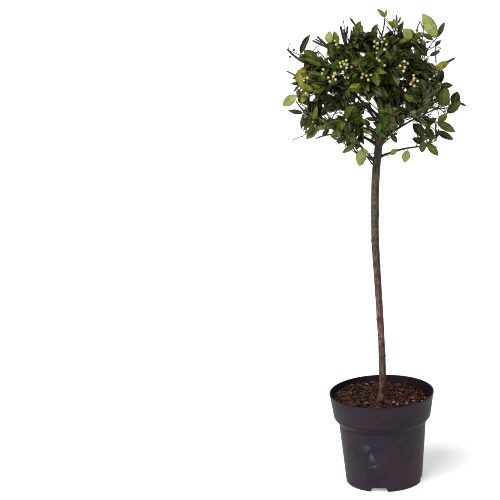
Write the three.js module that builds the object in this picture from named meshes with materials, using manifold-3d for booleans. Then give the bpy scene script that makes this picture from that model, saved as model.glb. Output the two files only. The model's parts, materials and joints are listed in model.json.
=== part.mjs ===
// A holly grown as a standard: a clear stem with a rounded head, in a 10-litre nursery pot.
// Millimetres, +Z up, origin at the centre of the pot's underside. +X is the viewer's right
// and the viewer stands at -Y.
import * as THREE from "three";
import { mergeVertices } from "three/addons/utils/BufferGeometryUtils.js";
import Module from "manifold-3d";

// Driving dimensions of the pot.
const POT_HEIGHT = 250;
const POT_RIM_R = 140;
const RIM_LIP = 1;
const POT_FOOT_R = 101.5;
const FOOT_LIP = 1;
const POT_WALL = 2;
const COLLAR_FOOT_Z = 184;
const COLLAR_FOOT_R = 130;
const BODY_TOP_Z = 168;
const BODY_TOP_R = 117;
const RIM_BEAD = 6;
const RIM_BEAD_WIDTH = 3.5;
const CHANNEL_Z = 14;
const CHANNEL_INNER_R = 64;
const CHANNEL_OUTER_R = 97;
const CHANNEL_SLANT = 4;
const CHANNEL_SHOULDER = 1;
const POT_SIDES = 36;
const NOTCH_COUNT = 4;
const NOTCH_AZIMUTH = -98;
const NOTCH_WIDTH = 50;
const NOTCH_TOP_WIDTH = 36;
const NOTCH_HEIGHT = 12;
const NOTCH_START_R = 75;
const NOTCH_DEPTH = 40;
const NOTCH_OVERCUT = 1;
const DRAIN_HOLES = 6;
const DRAIN_HOLE_R = 6;
const DRAIN_HOLE_SIDES = 8;

// Driving dimensions of the compost and the stem.
const CLEARANCE = 0.3;
const STEM_CUT_GAP = 0.35;
const SOIL_Z = 226;
const SOIL_SIDES = 24;
const SOIL_GAP = 1.2;
const SOIL_SHOULDER = 8;
const SOIL_RINGS = [126, 98, 72, 46, 24];
const SOIL_PATCH_R = 24;
const SOIL_PATCH_RISE = 1;
const SOIL_LUMP = 2.4;
const SOIL_LUMP_RUN = 10;
const SOIL_FALL = 0.06;
const STEM_SIDES = 12;
const FLARE_HEIGHT = 15;
const FLARE_SHARE = 0.42;
const FLARE_STEPS = [0, 5, 11, 22];
const FLARE_LOBES = 4;
const FLARE_LOBE_SHARE = 0.16;
// The stem's line and girth: height, offset in x and y, radius.
const STEM_STATIONS = [
  [226, 1, 0, 9.0],
  [300, 5, -2, 8.2],
  [400, 4, -3, 8.0],
  [510, 1, -1, 8.3],
  [620, -3, 2, 8.8],
  [700, -4, 3, 9.3],
  [810, 0, 2, 9.4],
  [870, 5, 0, 9.6],
  [920, 12, -2, 9.2],
  [970, 19, -2, 7.8],
  [1010, 22, 0, 6.4],
  [1042, 22, 2, 4.8],
];

// Driving dimensions of the head: a rounded block, a little lumpy, that the masses share out.
const HEAD_CENTRE = new THREE.Vector3(6, 0, 1080);
const HEAD_HALF_WIDTH = 224;
const HEAD_RISE = 184;
const HEAD_DROP = 146;
const HEAD_SQUARENESS = 3;
const HEAD_LUMP = 0.05;
const HEAD_LOBES = 3;
const HEAD_LOBE_PHASE = 1.1;
const HEAD_LOBE_TWIST = 50;
const FORK_Z = 1000;
const BOUGH_SIDES = 6;
const BOUGH_STEPS = 4;
const BOUGH_TIP_R = 2.3;
const BOUGH_RISE = 0.22;
const BOUGH_LEAST_SHARE = 0.5;
const BOUGH_ENTRY = 8;
const LEADER_SIDES = 4;
const LEADER_STEPS = 3;
const LEADER_STRIDE = 3;
const SHOOT_SIDES = 3;
const SHOOT_STARTS = [0.1, 0.2, 0.3, 0.4, 0.5, 0.6, 0.7, 0.8];
const SHOOT_SHORTEST = 30;
const SHOOT_R = 1.6;
const SHOOT_TIP_R = 1;
const SHOOT_SPACING = 47;
const SHOOT_TRIES = 900;
const SHOOT_REACH = 150;
const SHOOT_LEAN = 0.8;
const SHOOT_INNER_SHARE = 0.3;
const SHOOT_EDGE_GAP = 18;
const SPUR_SPACE_R = 56;
const LEAF_LENGTH = 60;
const LEAF_LENGTH_SPREAD = 14;
const LEAF_WIDTH_SHARE = 0.58;
const LEAF_WIDEST_SHARE = 0.46;
const LEAF_NECK_SHARE = 0.1;
const LEAF_THICKNESS = 1.8;
const LEAF_PITCH = 12;
const LEAF_LEAST = 3;
const LEAF_TRIES = 9;
const LEAF_RETRY_SHRINK = 1.5;
const LEAF_END_GAP = 2.5;
const LEAFLESS_SHARE = 0.08;
const LEAFY_SHARE = 0.9;
const LEAF_GAP = 1;
const LEAF_SPACE_MARGIN = 0.4;
// Angles in radians: how far leaves open from their shoot, at its end and further down.
const LEAF_OPEN_AT_END = 0.5;
const LEAF_OPEN_BELOW = 1.15;
const LEAF_OPEN_AFTER = 3;
const LEAF_OPEN_SPREAD = 0.35;
const LEAF_TURN_SPREAD = 0.3;
const LEAF_UPLIFT = 0.4;
const LIMB_GAP = 2.5;
const BERRY_R = 4.8;
const BERRY_SEAT = 0.95;
const BERRY_GAP = 1;
const BERRY_PLACE = 0.5;
const BERRY_PLACE_SPREAD = 0.1;
const SHOOT_SEED = 1000;
const LEAF_SEED = 5000;
const FRUIT_SEED = 9000;

// The boughs, and the mass of foliage that each carries. Azimuth 0 is the viewer's right, -90 the
// front. "from" is the height where the bough leaves the stem, "out" and "up" place the middle of
// its mass, "base" is its radius at the stem. A low mass hangs below the head's outline and has a
// "reach" of its own. A spur is a shoot that stands out of the outline, to the end given.
const LIMBS = [
  { name: "low_right", azimuth: -14, from: 893, out: 146, up: 940, reach: 62, base: 3.2 },
  { name: "low_left", azimuth: -165, from: 880, out: 70, up: 930, reach: 62, base: 3.0 },
  { name: "low_back", azimuth: 75, from: 886, out: 104, up: 938, reach: 70, base: 3.2 },
  { name: "skirt_right", azimuth: 4, from: 935, out: 152, up: 1024, base: 4.2 },
  { name: "skirt_back_right", azimuth: 62, from: 920, out: 148, up: 1018, base: 4.0 },
  { name: "skirt_back_left", azimuth: 122, from: 938, out: 148, up: 1022, base: 4.0 },
  { name: "skirt_left", azimuth: 178, from: 926, out: 152, up: 1012, base: 4.2 },
  { name: "skirt_front_left", azimuth: -118, from: 945, out: 144, up: 1030, base: 4.0, fruit: 3 },
  { name: "skirt_front_right", azimuth: -56, from: 955, out: 146, up: 1036, base: 4.0, fruit: 3 },
  { name: "upper_right", azimuth: -24, from: 985, out: 132, up: 1150, base: 4.2, fruit: 3 },
  { name: "upper_back_right", azimuth: 34, from: 972, out: 132, up: 1150, base: 4.0, fruit: 3 },
  { name: "upper_back", azimuth: 92, from: 990, out: 130, up: 1142, base: 4.0, fruit: 3 },
  { name: "upper_back_left", azimuth: 148, from: 976, out: 134, up: 1138, base: 4.0, fruit: 3 },
  { name: "upper_left", azimuth: -152, from: 996, out: 138, up: 1142, base: 4.2, fruit: 3 },
  { name: "upper_front", azimuth: -88, from: 1004, out: 126, up: 1138, base: 4.0, fruit: 3 },
  { name: "top_right", azimuth: 18, from: 1024, out: 52, up: 1196, base: 3.8, fruit: 3 },
  { name: "top_left", azimuth: 150, from: 1016, out: 68, up: 1190, base: 3.6, fruit: 3 },
  { name: "top_front", azimuth: -98, from: 1030, out: 58, up: 1192, base: 3.6, fruit: 3 },
];
const SPURS = {
  top_right: [[40, 6, 1238]],
  upper_right: [[156, -32, 1226]],
  skirt_right: [[192, -8, 1034]],
  upper_left: [[-168, -48, 1188]],
  skirt_left: [
    [-192, -14, 1056],
    [-186, -20, 960],
  ],
};

const wasm = await Module();
wasm.setup();

// Seeded random numbers from 0 to 1, the same on every run.
function seeded(seed) {
  let state = seed >>> 0;
  return () => {
    state = (state + 0x6d2b79f5) >>> 0;
    let t = state;
    t = Math.imul(t ^ (t >>> 15), t | 1);
    t ^= t + Math.imul(t ^ (t >>> 7), t | 61);
    return ((t ^ (t >>> 14)) >>> 0) / 4294967296;
  };
}

const radians = THREE.MathUtils.degToRad;
const mix = THREE.MathUtils.lerp;
const up = () => new THREE.Vector3(0, 0, 1);

// A closed geometry as a solid.
function toSolid(geometry) {
  const bare = geometry.clone();
  bare.deleteAttribute("normal");
  bare.deleteAttribute("uv");
  const merged = mergeVertices(bare, 1e-4);
  return new wasm.Manifold(
    new wasm.Mesh({
      numProp: 3,
      vertProperties: merged.attributes.position.array,
      triVerts: new Uint32Array(merged.index.array),
    }),
  );
}

// A solid as a geometry with flat faces.
function toGeometry(solid) {
  const { vertProperties, numProp, numVert, triVerts } = solid.getMesh();
  const positions = new Float32Array(numVert * 3);
  for (let i = 0; i < numVert; i++) {
    positions.set(vertProperties.subarray(i * numProp, i * numProp + 3), i * 3);
  }
  const geometry = new THREE.BufferGeometry();
  geometry.setAttribute("position", new THREE.BufferAttribute(positions, 3));
  geometry.setIndex(new THREE.BufferAttribute(triVerts, 1));
  const flat = geometry.toNonIndexed();
  flat.computeVertexNormals();
  return flat;
}

// The largest connected piece of a solid: a loose scrap is dropped.
function largestPiece(solid) {
  return solid.decompose().reduce((a, b) => (b.volume() > a.volume() ? b : a));
}

// Vertices and faces as a geometry.
function polyhedron(vertices, faces) {
  const geometry = new THREE.BufferGeometry();
  const positions = vertices.flatMap((v) => v.toArray());
  geometry.setAttribute("position", new THREE.Float32BufferAttribute(positions, 3));
  geometry.setIndex(faces.flat());
  return geometry;
}

// A direction at right angles to a line.
function crossAxis(along) {
  const reference = Math.abs(along.z) < 0.9 ? up() : new THREE.Vector3(1, 0, 0);
  return new THREE.Vector3().crossVectors(reference, along).normalize();
}

// The points of a limb, each with two directions across it that turn as little as they can.
// "heading" is the direction at the first point, where the limb carries on from another.
function framesAlong(points, heading) {
  let first = null;
  return points.map((p, i) => {
    const before = points[Math.max(i - 1, 0)];
    const after = points[Math.min(i + 1, points.length - 1)];
    const along = i === 0 && heading ? heading : new THREE.Vector3().subVectors(after, before).normalize();
    first = first ? first.clone().addScaledVector(along, -first.dot(along)).normalize() : crossAxis(along);
    return { p, along, first, second: new THREE.Vector3().crossVectors(along, first) };
  });
}

// A point at an angle round a frame.
function around(frame, angle, distance) {
  return frame.p
    .clone()
    .addScaledVector(frame.first, distance * Math.cos(angle))
    .addScaledVector(frame.second, distance * Math.sin(angle));
}

// A tapering limb through frames, closed at both ends. radiusAt(i, angle) gives its girth.
function limbGeometry(frames, radiusAt, sides) {
  const vertices = [];
  const faces = [];
  frames.forEach((frame, i) => {
    for (let s = 0; s < sides; s++) {
      const angle = (2 * Math.PI * s) / sides;
      vertices.push(around(frame, angle, radiusAt(i, angle)));
    }
  });
  for (let i = 0; i + 1 < frames.length; i++) {
    for (let s = 0; s < sides; s++) {
      const a = i * sides + s;
      const b = i * sides + ((s + 1) % sides);
      faces.push([a, b, b + sides], [a, b + sides, a + sides]);
    }
  }
  const last = (frames.length - 1) * sides;
  for (let s = 1; s + 1 < sides; s++) {
    faces.push([0, s + 1, s], [last, last + s, last + s + 1]);
  }
  return polyhedron(vertices, faces);
}

// Points along a bend that leaves "start" towards "heading" and arrives at "end".
function bend(start, heading, end, steps) {
  const length = start.distanceTo(end);
  const middle = start.clone().addScaledVector(heading, length * 0.5);
  return new THREE.QuadraticBezierCurve3(start, middle, end).getPoints(steps);
}

// A profile of radius and height, turned about the Z axis.
function lathe(profile, sides) {
  const points = profile.map(([r, z]) => new THREE.Vector2(r, z));
  return new THREE.LatheGeometry(points, sides).rotateX(Math.PI / 2);
}

// Radius of the pot's inside at a height above the channel.
function potInnerRadius(z) {
  const outer =
    z <= BODY_TOP_Z
      ? mix(POT_FOOT_R, BODY_TOP_R, z / BODY_TOP_Z)
      : z <= COLLAR_FOOT_Z
        ? mix(BODY_TOP_R, COLLAR_FOOT_R, (z - BODY_TOP_Z) / (COLLAR_FOOT_Z - BODY_TOP_Z))
        : mix(COLLAR_FOOT_R, POT_RIM_R - RIM_LIP, (z - COLLAR_FOOT_Z) / (POT_HEIGHT - COLLAR_FOOT_Z));
  return outer - POT_WALL;
}

// The nursery pot: a lathed shell with a collar, a raised drainage channel, notches and drain holes.
function potSolid() {
  const channelFloor = CHANNEL_Z + POT_WALL;
  const profile = [
    [0, 0],
    [CHANNEL_INNER_R - CHANNEL_SLANT, 0],
    [CHANNEL_INNER_R, CHANNEL_Z],
    [CHANNEL_OUTER_R - CHANNEL_SHOULDER, CHANNEL_Z],
    [CHANNEL_OUTER_R, 0],
    [POT_FOOT_R + FOOT_LIP, 0],
    [BODY_TOP_R, BODY_TOP_Z],
    [COLLAR_FOOT_R, COLLAR_FOOT_Z],
    [POT_RIM_R - RIM_LIP, POT_HEIGHT - RIM_BEAD],
    [POT_RIM_R, POT_HEIGHT],
    [POT_RIM_R - RIM_BEAD_WIDTH, POT_HEIGHT],
    [potInnerRadius(COLLAR_FOOT_Z), COLLAR_FOOT_Z],
    [potInnerRadius(BODY_TOP_Z), BODY_TOP_Z],
    [potInnerRadius(channelFloor), channelFloor],
    [CHANNEL_INNER_R - CHANNEL_SHOULDER, channelFloor],
    [CHANNEL_INNER_R - CHANNEL_SHOULDER - CHANNEL_SLANT, POT_WALL],
    [0, POT_WALL],
  ];
  const notch = new THREE.Shape([
    new THREE.Vector2(-NOTCH_WIDTH / 2 - NOTCH_OVERCUT, -NOTCH_OVERCUT),
    new THREE.Vector2(NOTCH_WIDTH / 2 + NOTCH_OVERCUT, -NOTCH_OVERCUT),
    new THREE.Vector2(NOTCH_TOP_WIDTH / 2, NOTCH_HEIGHT),
    new THREE.Vector2(-NOTCH_TOP_WIDTH / 2, NOTCH_HEIGHT),
  ]);
  let pot = toSolid(lathe(profile, POT_SIDES));
  for (let i = 0; i < NOTCH_COUNT; i++) {
    const cutter = new THREE.ExtrudeGeometry(notch, { depth: NOTCH_DEPTH, bevelEnabled: false })
      .rotateX(Math.PI / 2)
      .translate(0, -NOTCH_START_R, 0)
      .rotateZ(radians(90 + NOTCH_AZIMUTH + (i * 360) / NOTCH_COUNT));
    pot = pot.subtract(toSolid(cutter));
  }
  for (let i = 0; i < DRAIN_HOLES; i++) {
    const azimuth = radians(NOTCH_AZIMUTH + (360 / DRAIN_HOLES) * (i + 0.5));
    const r = (CHANNEL_INNER_R + CHANNEL_OUTER_R) / 2;
    const hole = new THREE.CylinderGeometry(DRAIN_HOLE_R, DRAIN_HOLE_R, 3 * POT_WALL, DRAIN_HOLE_SIDES)
      .rotateX(Math.PI / 2)
      .translate(r * Math.cos(azimuth), r * Math.sin(azimuth), CHANNEL_Z + POT_WALL / 2);
    pot = pot.subtract(toSolid(hole));
  }
  return pot;
}

// The compost's general level, which falls to the viewer's right and towards the viewer.
function soilLevel(x, y) {
  return SOIL_Z - SOIL_FALL * (x - y);
}

// The lumpy surface of the compost, flat under the stem's foot.
function soilHeight(x, y) {
  const r = Math.hypot(x, y);
  if (r <= SOIL_PATCH_R + 1) return SOIL_Z - CLEARANCE;
  const lumps = Math.sin(x / SOIL_LUMP_RUN + 1.3) * Math.sin(y / SOIL_LUMP_RUN + 0.4);
  const ridges = 0.6 * Math.sin((x + y) / (0.6 * SOIL_LUMP_RUN));
  return soilLevel(x, y) - CLEARANCE - SOIL_PATCH_RISE + SOIL_LUMP * (lumps + ridges);
}

// The compost fills the pot, over the raised channel, to below its rim.
function compostSolid() {
  const well = POT_WALL + CLEARANCE;
  const floor = CHANNEL_Z + POT_WALL + CLEARANCE;
  const wellR = CHANNEL_INNER_R - CHANNEL_SHOULDER - SOIL_GAP;
  const sideHeights = [floor, BODY_TOP_Z, COLLAR_FOOT_Z, SOIL_Z - SOIL_SHOULDER];
  const profile = [
    [0, well],
    [wellR - CHANNEL_SLANT, well],
    [wellR, floor],
    ...sideHeights.map((z) => [potInnerRadius(z) - SOIL_GAP, z]),
    ...SOIL_RINGS.map((r) => [r, SOIL_Z]),
    [0, SOIL_Z],
  ];
  const geometry = lathe(profile, SOIL_SIDES);
  const p = geometry.attributes.position;
  for (let i = 0; i < p.count; i++) {
    const [x, y, z] = [p.getX(i), p.getY(i), p.getZ(i)];
    if (z > SOIL_Z - 1) {
      p.setZ(i, soilHeight(x, y));
    } else if (z > SOIL_Z - SOIL_SHOULDER - 1) {
      // The shoulder keeps its depth below the level, and its gap to the wall there.
      const shoulder = soilLevel(x, y) - SOIL_SHOULDER;
      const share = (potInnerRadius(shoulder) - SOIL_GAP) / Math.hypot(x, y);
      p.setXYZ(i, x * share, y * share, shoulder);
    }
  }
  return toSolid(geometry);
}

const STEM_FOOT = STEM_STATIONS[0][0];

// The stem's middle and girth at a height.
function stemAt(z) {
  const next = Math.max(1, STEM_STATIONS.findIndex(([height]) => height >= z));
  const [z0, x0, y0, r0] = STEM_STATIONS[next - 1];
  const [z1, x1, y1, r1] = STEM_STATIONS[next];
  const share = (z - z0) / (z1 - z0);
  return { p: new THREE.Vector3(mix(x0, x1, share), mix(y0, y1, share), z), r: mix(r0, r1, share) };
}

// The stem, cut flat at the ground, where it flares into the tops of its roots. "extra" swells it,
// for cutting the boughs clear.
function stemSolid(extra = 0) {
  const heights = [...FLARE_STEPS.map((h) => STEM_FOOT + h), ...STEM_STATIONS.slice(1).map(([z]) => z)];
  const stations = heights.map(stemAt);
  stations.at(-1).p.z += extra;
  const frames = framesAlong(stations.map((s) => s.p));
  const radiusAt = (i, angle) => {
    const low = Math.exp(-(heights[i] - STEM_FOOT) / FLARE_HEIGHT);
    const lobes = 1 + FLARE_LOBE_SHARE * low * Math.cos(FLARE_LOBES * angle);
    return stations[i].r * (1 + FLARE_SHARE * low) * lobes + extra;
  };
  const geometry = limbGeometry(frames, radiusAt, STEM_SIDES);
  for (let s = 0; s < STEM_SIDES; s++) {
    geometry.attributes.position.setZ(s, STEM_FOOT);
  }
  return toSolid(geometry);
}

// The middle of each limb's mass, and the ends of its spurs.
const limbs = LIMBS.map((limb) => {
  const azimuth = radians(limb.azimuth);
  const x = HEAD_CENTRE.x + limb.out * Math.cos(azimuth);
  const centre = new THREE.Vector3(x, limb.out * Math.sin(azimuth), limb.up);
  const spurs = (SPURS[limb.name] ?? []).map((end) => new THREE.Vector3(...end));
  return { ...limb, centre, spurs };
});

// How far out in the head a point lies: 0 at its centre, 1 on its outline drawn in by the margin.
function headShare(p, margin) {
  const offset = new THREE.Vector3().subVectors(p, HEAD_CENTRE);
  const turn = HEAD_LOBES * Math.atan2(offset.y, offset.x) + HEAD_LOBE_PHASE + p.z / HEAD_LOBE_TWIST;
  const lumps = 1 + HEAD_LUMP * Math.sin(turn);
  const across = Math.hypot(offset.x, offset.y) / (HEAD_HALF_WIDTH * lumps - margin);
  const upright = Math.abs(offset.z) / ((offset.z > 0 ? HEAD_RISE : HEAD_DROP) * lumps - margin);
  return (across ** HEAD_SQUARENESS + upright ** HEAD_SQUARENESS) ** (1 / HEAD_SQUARENESS);
}

// True where a point is inside a mass's own space, which its neighbours' spaces bound.
function holds(mass, p, margin) {
  const within = mass.reach
    ? p.distanceTo(mass.centre) <= mass.reach - margin
    : headShare(p, margin) <= 1 || mass.spurs.some((end) => p.distanceTo(end) <= SPUR_SPACE_R - margin);
  if (!within) return false;
  return limbs.every((other) => {
    if (other === mass) return true;
    const towards = new THREE.Vector3().subVectors(other.centre, mass.centre);
    const span = towards.length();
    const offset = new THREE.Vector3().subVectors(p, mass.centre);
    return offset.dot(towards) / span <= span / 2 - margin;
  });
}

// Each bough's line, from the stem's middle up and out to where it enters its mass's own space.
for (const limb of limbs) {
  const start = stemAt(limb.from).p;
  const toCentre = new THREE.Vector3().subVectors(limb.centre, start);
  const entryAt = (share) => start.clone().addScaledVector(toCentre, share);
  let share = BOUGH_LEAST_SHARE;
  while (!holds(limb, entryAt(share), BOUGH_ENTRY)) share += 0.01;
  const heading = toCentre.clone().normalize().add(up().multiplyScalar(BOUGH_RISE)).normalize();
  limb.line = bend(start, heading, entryAt(share), BOUGH_STEPS);
  limb.arrival = new THREE.Vector3().subVectors(limb.line.at(-1), limb.line.at(-2)).normalize();
  limb.radii = limb.line.map((_, i) => mix(limb.base, BOUGH_TIP_R, i / BOUGH_STEPS));
}

// Shortest distance between two stretches of line.
function stretchGap(a, b, c, d) {
  const u = new THREE.Vector3().subVectors(b, a);
  const v = new THREE.Vector3().subVectors(d, c);
  const w = new THREE.Vector3().subVectors(a, c);
  const uu = u.dot(u);
  const uv = u.dot(v);
  const vv = v.dot(v);
  const clampShare = (share) => THREE.MathUtils.clamp(share, 0, 1);
  const denominator = uu * vv - uv * uv;
  let s = denominator > 1e-9 ? clampShare((uv * v.dot(w) - vv * u.dot(w)) / denominator) : 0;
  const t = clampShare((uv * s + v.dot(w)) / vv);
  s = clampShare((uv * t - u.dot(w)) / uu);
  return w.addScaledVector(u, s).addScaledVector(v, -t).length();
}

// Every stretch of the stem and the boughs, with its radius at the start.
function stretches(stations) {
  return stations.slice(1).map(({ p }, i) => ({ start: stations[i].p, end: p, r: stations[i].r }));
}

const woodStretches = [
  ...stretches(STEM_STATIONS.map(([z]) => stemAt(z))),
  ...limbs.flatMap(({ line, radii }) => stretches(line.map((p, i) => ({ p, r: radii[i] })))),
];

// Where a stretch of line pierces a triangle.
function pierces(a, b, triangle) {
  const ray = new THREE.Ray(a, new THREE.Vector3().subVectors(b, a).normalize());
  const hit = ray.intersectTriangle(...triangle, false, new THREE.Vector3());
  return hit !== null && hit.distanceTo(a) < a.distanceTo(b);
}

// A leaf's corners. Its root lies on the twig's axis, and its blade is a keel under a flat face.
function leafCorners(root, direction, normal, length) {
  const side = new THREE.Vector3().crossVectors(direction, normal);
  const half = (length * LEAF_WIDTH_SHARE) / 2;
  const middle = root.clone().addScaledVector(direction, length * LEAF_WIDEST_SHARE);
  middle.addScaledVector(normal, LEAF_THICKNESS);
  return {
    base: root.clone(),
    tip: root.clone().addScaledVector(direction, length),
    left: middle.clone().addScaledVector(side, -half),
    right: middle.clone().addScaledVector(side, half),
  };
}

function leafSolid({ base, tip, left, right }) {
  const faces = [
    [0, 3, 2],
    [1, 2, 3],
    [0, 1, 3],
    [0, 2, 1],
  ];
  return toSolid(polyhedron([base, tip, left, right], faces));
}

// The leaf's blade beyond its stalk, as edges and two triangles, for finding blades that cross.
function blade({ base, tip, left, right }) {
  const neck = base.clone().lerp(tip, LEAF_NECK_SHARE);
  return {
    edges: [
      [neck, left],
      [left, tip],
      [tip, right],
      [right, neck],
    ],
    faces: [
      [neck, right, tip],
      [neck, tip, left],
    ],
  };
}

function bladesCross(a, b) {
  return (
    a.edges.some(([p, q]) => b.faces.some((f) => pierces(p, q, f))) ||
    b.edges.some(([p, q]) => a.faces.some((f) => pierces(p, q, f)))
  );
}

// True where a blade comes closer than the gap to a stretch of wood.
function bladeMeets(flat, edges, start, end, gap) {
  return (
    flat.faces.some((f) => pierces(start, end, f)) ||
    edges.some(([p, q]) => stretchGap(p, q, start, end) < gap)
  );
}

// A blade leaves its own shoot, so only its outer edges are kept clear of that one.
function bladeMeetsShoot(flat, shoot, own) {
  const edges = own ? flat.edges.slice(1, 3) : flat.edges;
  const gap = shoot.r0 + LEAF_GAP;
  return shoot.line.slice(1).some((end, i) => bladeMeets(flat, edges, shoot.line[i], end, gap));
}

// A shoot: its line, its frames, its radius at the start, and the number of its sides.
function makeShoot(line, r0, sides, heading) {
  const frames = framesAlong(line, heading);
  return { line, frames, r0, sides, length: new THREE.CatmullRomCurve3(line).getLength() };
}

// The frame at a share of a shoot's length.
function frameAt(shoot, share) {
  const steps = shoot.frames.length - 1;
  const i = Math.min(Math.floor(share * steps), steps - 1);
  const rest = share * steps - i;
  const [a, b] = [shoot.frames[i], shoot.frames[i + 1]];
  const along = new THREE.Vector3().subVectors(b.p, a.p).normalize();
  const first = a.first.clone().lerp(b.first, rest);
  first.addScaledVector(along, -first.dot(along)).normalize();
  const second = new THREE.Vector3().crossVectors(along, first);
  return { p: a.p.clone().lerp(b.p, rest), along, first, second };
}

// The shoots of one mass: a leading stem that carries on from the bough, and straight side shoots
// that leave it for ends spread evenly through the mass's space.
function growShoots(mass) {
  const random = seeded(SHOOT_SEED + limbs.indexOf(mass));
  const root = mass.line.at(-1).clone().addScaledVector(mass.arrival, CLEARANCE);
  const away = new THREE.Vector3().subVectors(mass.centre, new THREE.Vector3(HEAD_CENTRE.x, 0, FORK_Z));
  away.normalize();
  let tip = mass.spurs[0];
  if (!tip) {
    tip = mass.centre.clone();
    while (holds(mass, tip, SHOOT_EDGE_GAP)) tip.addScaledVector(away, LEADER_STRIDE);
  }
  const leaderLine = bend(root, mass.arrival, tip, LEADER_STEPS);
  const leader = makeShoot(leaderLine, BOUGH_TIP_R, LEADER_SIDES, mass.arrival);
  const shoots = [leader];
  const ends = [tip];
  const scattered = Array.from({ length: SHOOT_TRIES }, () =>
    new THREE.Vector3(random() - 0.5, random() - 0.5, random() - 0.5)
      .multiplyScalar(2 * (mass.reach ?? SHOOT_REACH))
      .add(mass.centre),
  );
  const wanted = scattered.filter(
    (end) => holds(mass, end, SHOOT_EDGE_GAP) && (mass.reach || headShare(end, 0) > SHOOT_INNER_SHARE),
  );
  for (const end of [...mass.spurs.slice(1), ...wanted]) {
    if (ends.some((e) => e.distanceTo(end) < SHOOT_SPACING)) continue;
    // The shoot leaves where it makes the natural angle with the leading stem.
    let best = null;
    for (const share of SHOOT_STARTS) {
      const { p: from, along } = frameAt(leader, share);
      const towards = new THREE.Vector3().subVectors(end, from);
      const lean = Math.abs(towards.angleTo(along) - SHOOT_LEAN);
      if (!best || lean < best.lean) best = { lean, from, length: towards.length() };
    }
    if (best.length < SHOOT_SHORTEST) continue;
    if (woodStretches.some((wood) => stretchGap(best.from, end, wood.start, wood.end) < wood.r + LIMB_GAP)) {
      continue;
    }
    shoots.push(makeShoot([best.from, end], SHOOT_R, SHOOT_SIDES));
    ends.push(end);
  }
  return shoots;
}

// The k-th leaf from a shoot's end. It leaves the middle of one of the shoot's faces, and its
// blade looks out of the head to the light. A later attempt gives a smaller leaf.
function leafOn(shoot, frame, face, k, attempt, outward, random) {
  const angle = ((face + 0.5) * 2 * Math.PI) / shoot.sides + LEAF_TURN_SPREAD * (random() - 0.5);
  const opening = mix(LEAF_OPEN_AT_END, LEAF_OPEN_BELOW, Math.min(1, k / LEAF_OPEN_AFTER));
  const open = opening + LEAF_OPEN_SPREAD * (random() - 0.5);
  const length = LEAF_LENGTH + LEAF_LENGTH_SPREAD * (random() - 0.5) - attempt * LEAF_RETRY_SHRINK;
  const radial = around(frame, angle, 1).sub(frame.p);
  const direction = frame.along.clone().multiplyScalar(Math.cos(open));
  direction.addScaledVector(radial, Math.sin(open));
  const normal = new THREE.Vector3(random() - 0.5, random() - 0.5, random() - 0.5 + LEAF_UPLIFT);
  normal.add(outward);
  normal.addScaledVector(direction, -normal.dot(direction)).normalize();
  return leafCorners(frame.p, direction, normal, length);
}

// True where a leaf stays in its mass's own space and clear of the stem and the boughs.
function leafFits(mass, leaf, flat) {
  const outline = [leaf.tip, leaf.left, leaf.right];
  if (!outline.every((p) => holds(mass, p, LEAF_SPACE_MARGIN))) return false;
  return !woodStretches.some(({ start, end, r }) => bladeMeets(flat, flat.edges, start, end, r + LIMB_GAP));
}

// Leaves all along the shoots. One that would cross another leaf or a shoot is tried again on the
// next face, and skipped after the last attempt.
function growLeaves(mass, shoots) {
  const random = seeded(LEAF_SEED + limbs.indexOf(mass));
  const blades = [];
  const corners = [];
  for (const shoot of shoots) {
    const count = Math.max(LEAF_LEAST, Math.floor((shoot.length * LEAFY_SHARE) / LEAF_PITCH));
    const firstFace = Math.floor(random() * shoot.sides);
    for (let k = 0; k < count; k++) {
      const share = 1 - (LEAF_END_GAP + k * LEAF_PITCH) / shoot.length;
      if (share < LEAFLESS_SHARE) break;
      const frame = frameAt(shoot, share);
      const outward = new THREE.Vector3().subVectors(frame.p, HEAD_CENTRE).normalize();
      for (let attempt = 0; attempt < LEAF_TRIES; attempt++) {
        const face = (firstFace + k + attempt) % shoot.sides;
        const leaf = leafOn(shoot, frame, face, k, attempt, outward, random);
        const flat = blade(leaf);
        if (!leafFits(mass, leaf, flat)) continue;
        if (blades.some((other) => bladesCross(flat, other))) continue;
        if (shoots.some((other) => bladeMeetsShoot(flat, other, other === shoot))) continue;
        blades.push(flat);
        corners.push(leaf);
        break;
      }
    }
  }
  return corners;
}

// A cluster of berries round the middle of a side shoot.
function growBerries(mass, shoots) {
  const random = seeded(FRUIT_SEED + limbs.indexOf(mass));
  const side = shoots.slice(1);
  if (!mass.fruit || side.length === 0) return [];
  const shoot = side[Math.floor(random() * side.length)];
  const berries = [];
  for (let i = 0; i < mass.fruit; i++) {
    const frame = frameAt(shoot, BERRY_PLACE + BERRY_PLACE_SPREAD * (random() - 0.5));
    const centre = around(frame, (2 * Math.PI * i) / mass.fruit, BERRY_R * BERRY_SEAT);
    if (!holds(mass, centre, BERRY_R + BERRY_GAP)) continue;
    berries.push(toSolid(new THREE.OctahedronGeometry(BERRY_R, 0).translate(...centre.toArray())));
  }
  return berries;
}

// A mass of foliage: its shoots, leaves and berries fused into one solid.
function massSolid(mass) {
  const shoots = growShoots(mass);
  const twigs = shoots.map(({ frames, r0, sides }) =>
    toSolid(limbGeometry(frames, (i) => mix(r0, SHOOT_TIP_R, i / (frames.length - 1)), sides)),
  );
  const leaves = growLeaves(mass, shoots);
  const berries = growBerries(mass, shoots);
  return largestPiece(wasm.Manifold.union([...twigs, ...leaves.map(leafSolid), ...berries]));
}

// Materials with the photo's colours.
function finish(color, roughness) {
  return new THREE.MeshStandardMaterial({ color, roughness, metalness: 0 });
}

const finishes = {
  pot: finish(0x3b343a, 0.55),
  compost: finish(0x3a2620, 0.95),
  bark: finish(0x55503f, 0.85),
  foliage: finish(0x33421a, 0.5),
};

const root = new THREE.Group();

function addNode(name, solid, material) {
  const mesh = new THREE.Mesh(toGeometry(solid), material);
  mesh.name = name;
  root.add(mesh);
}

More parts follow.
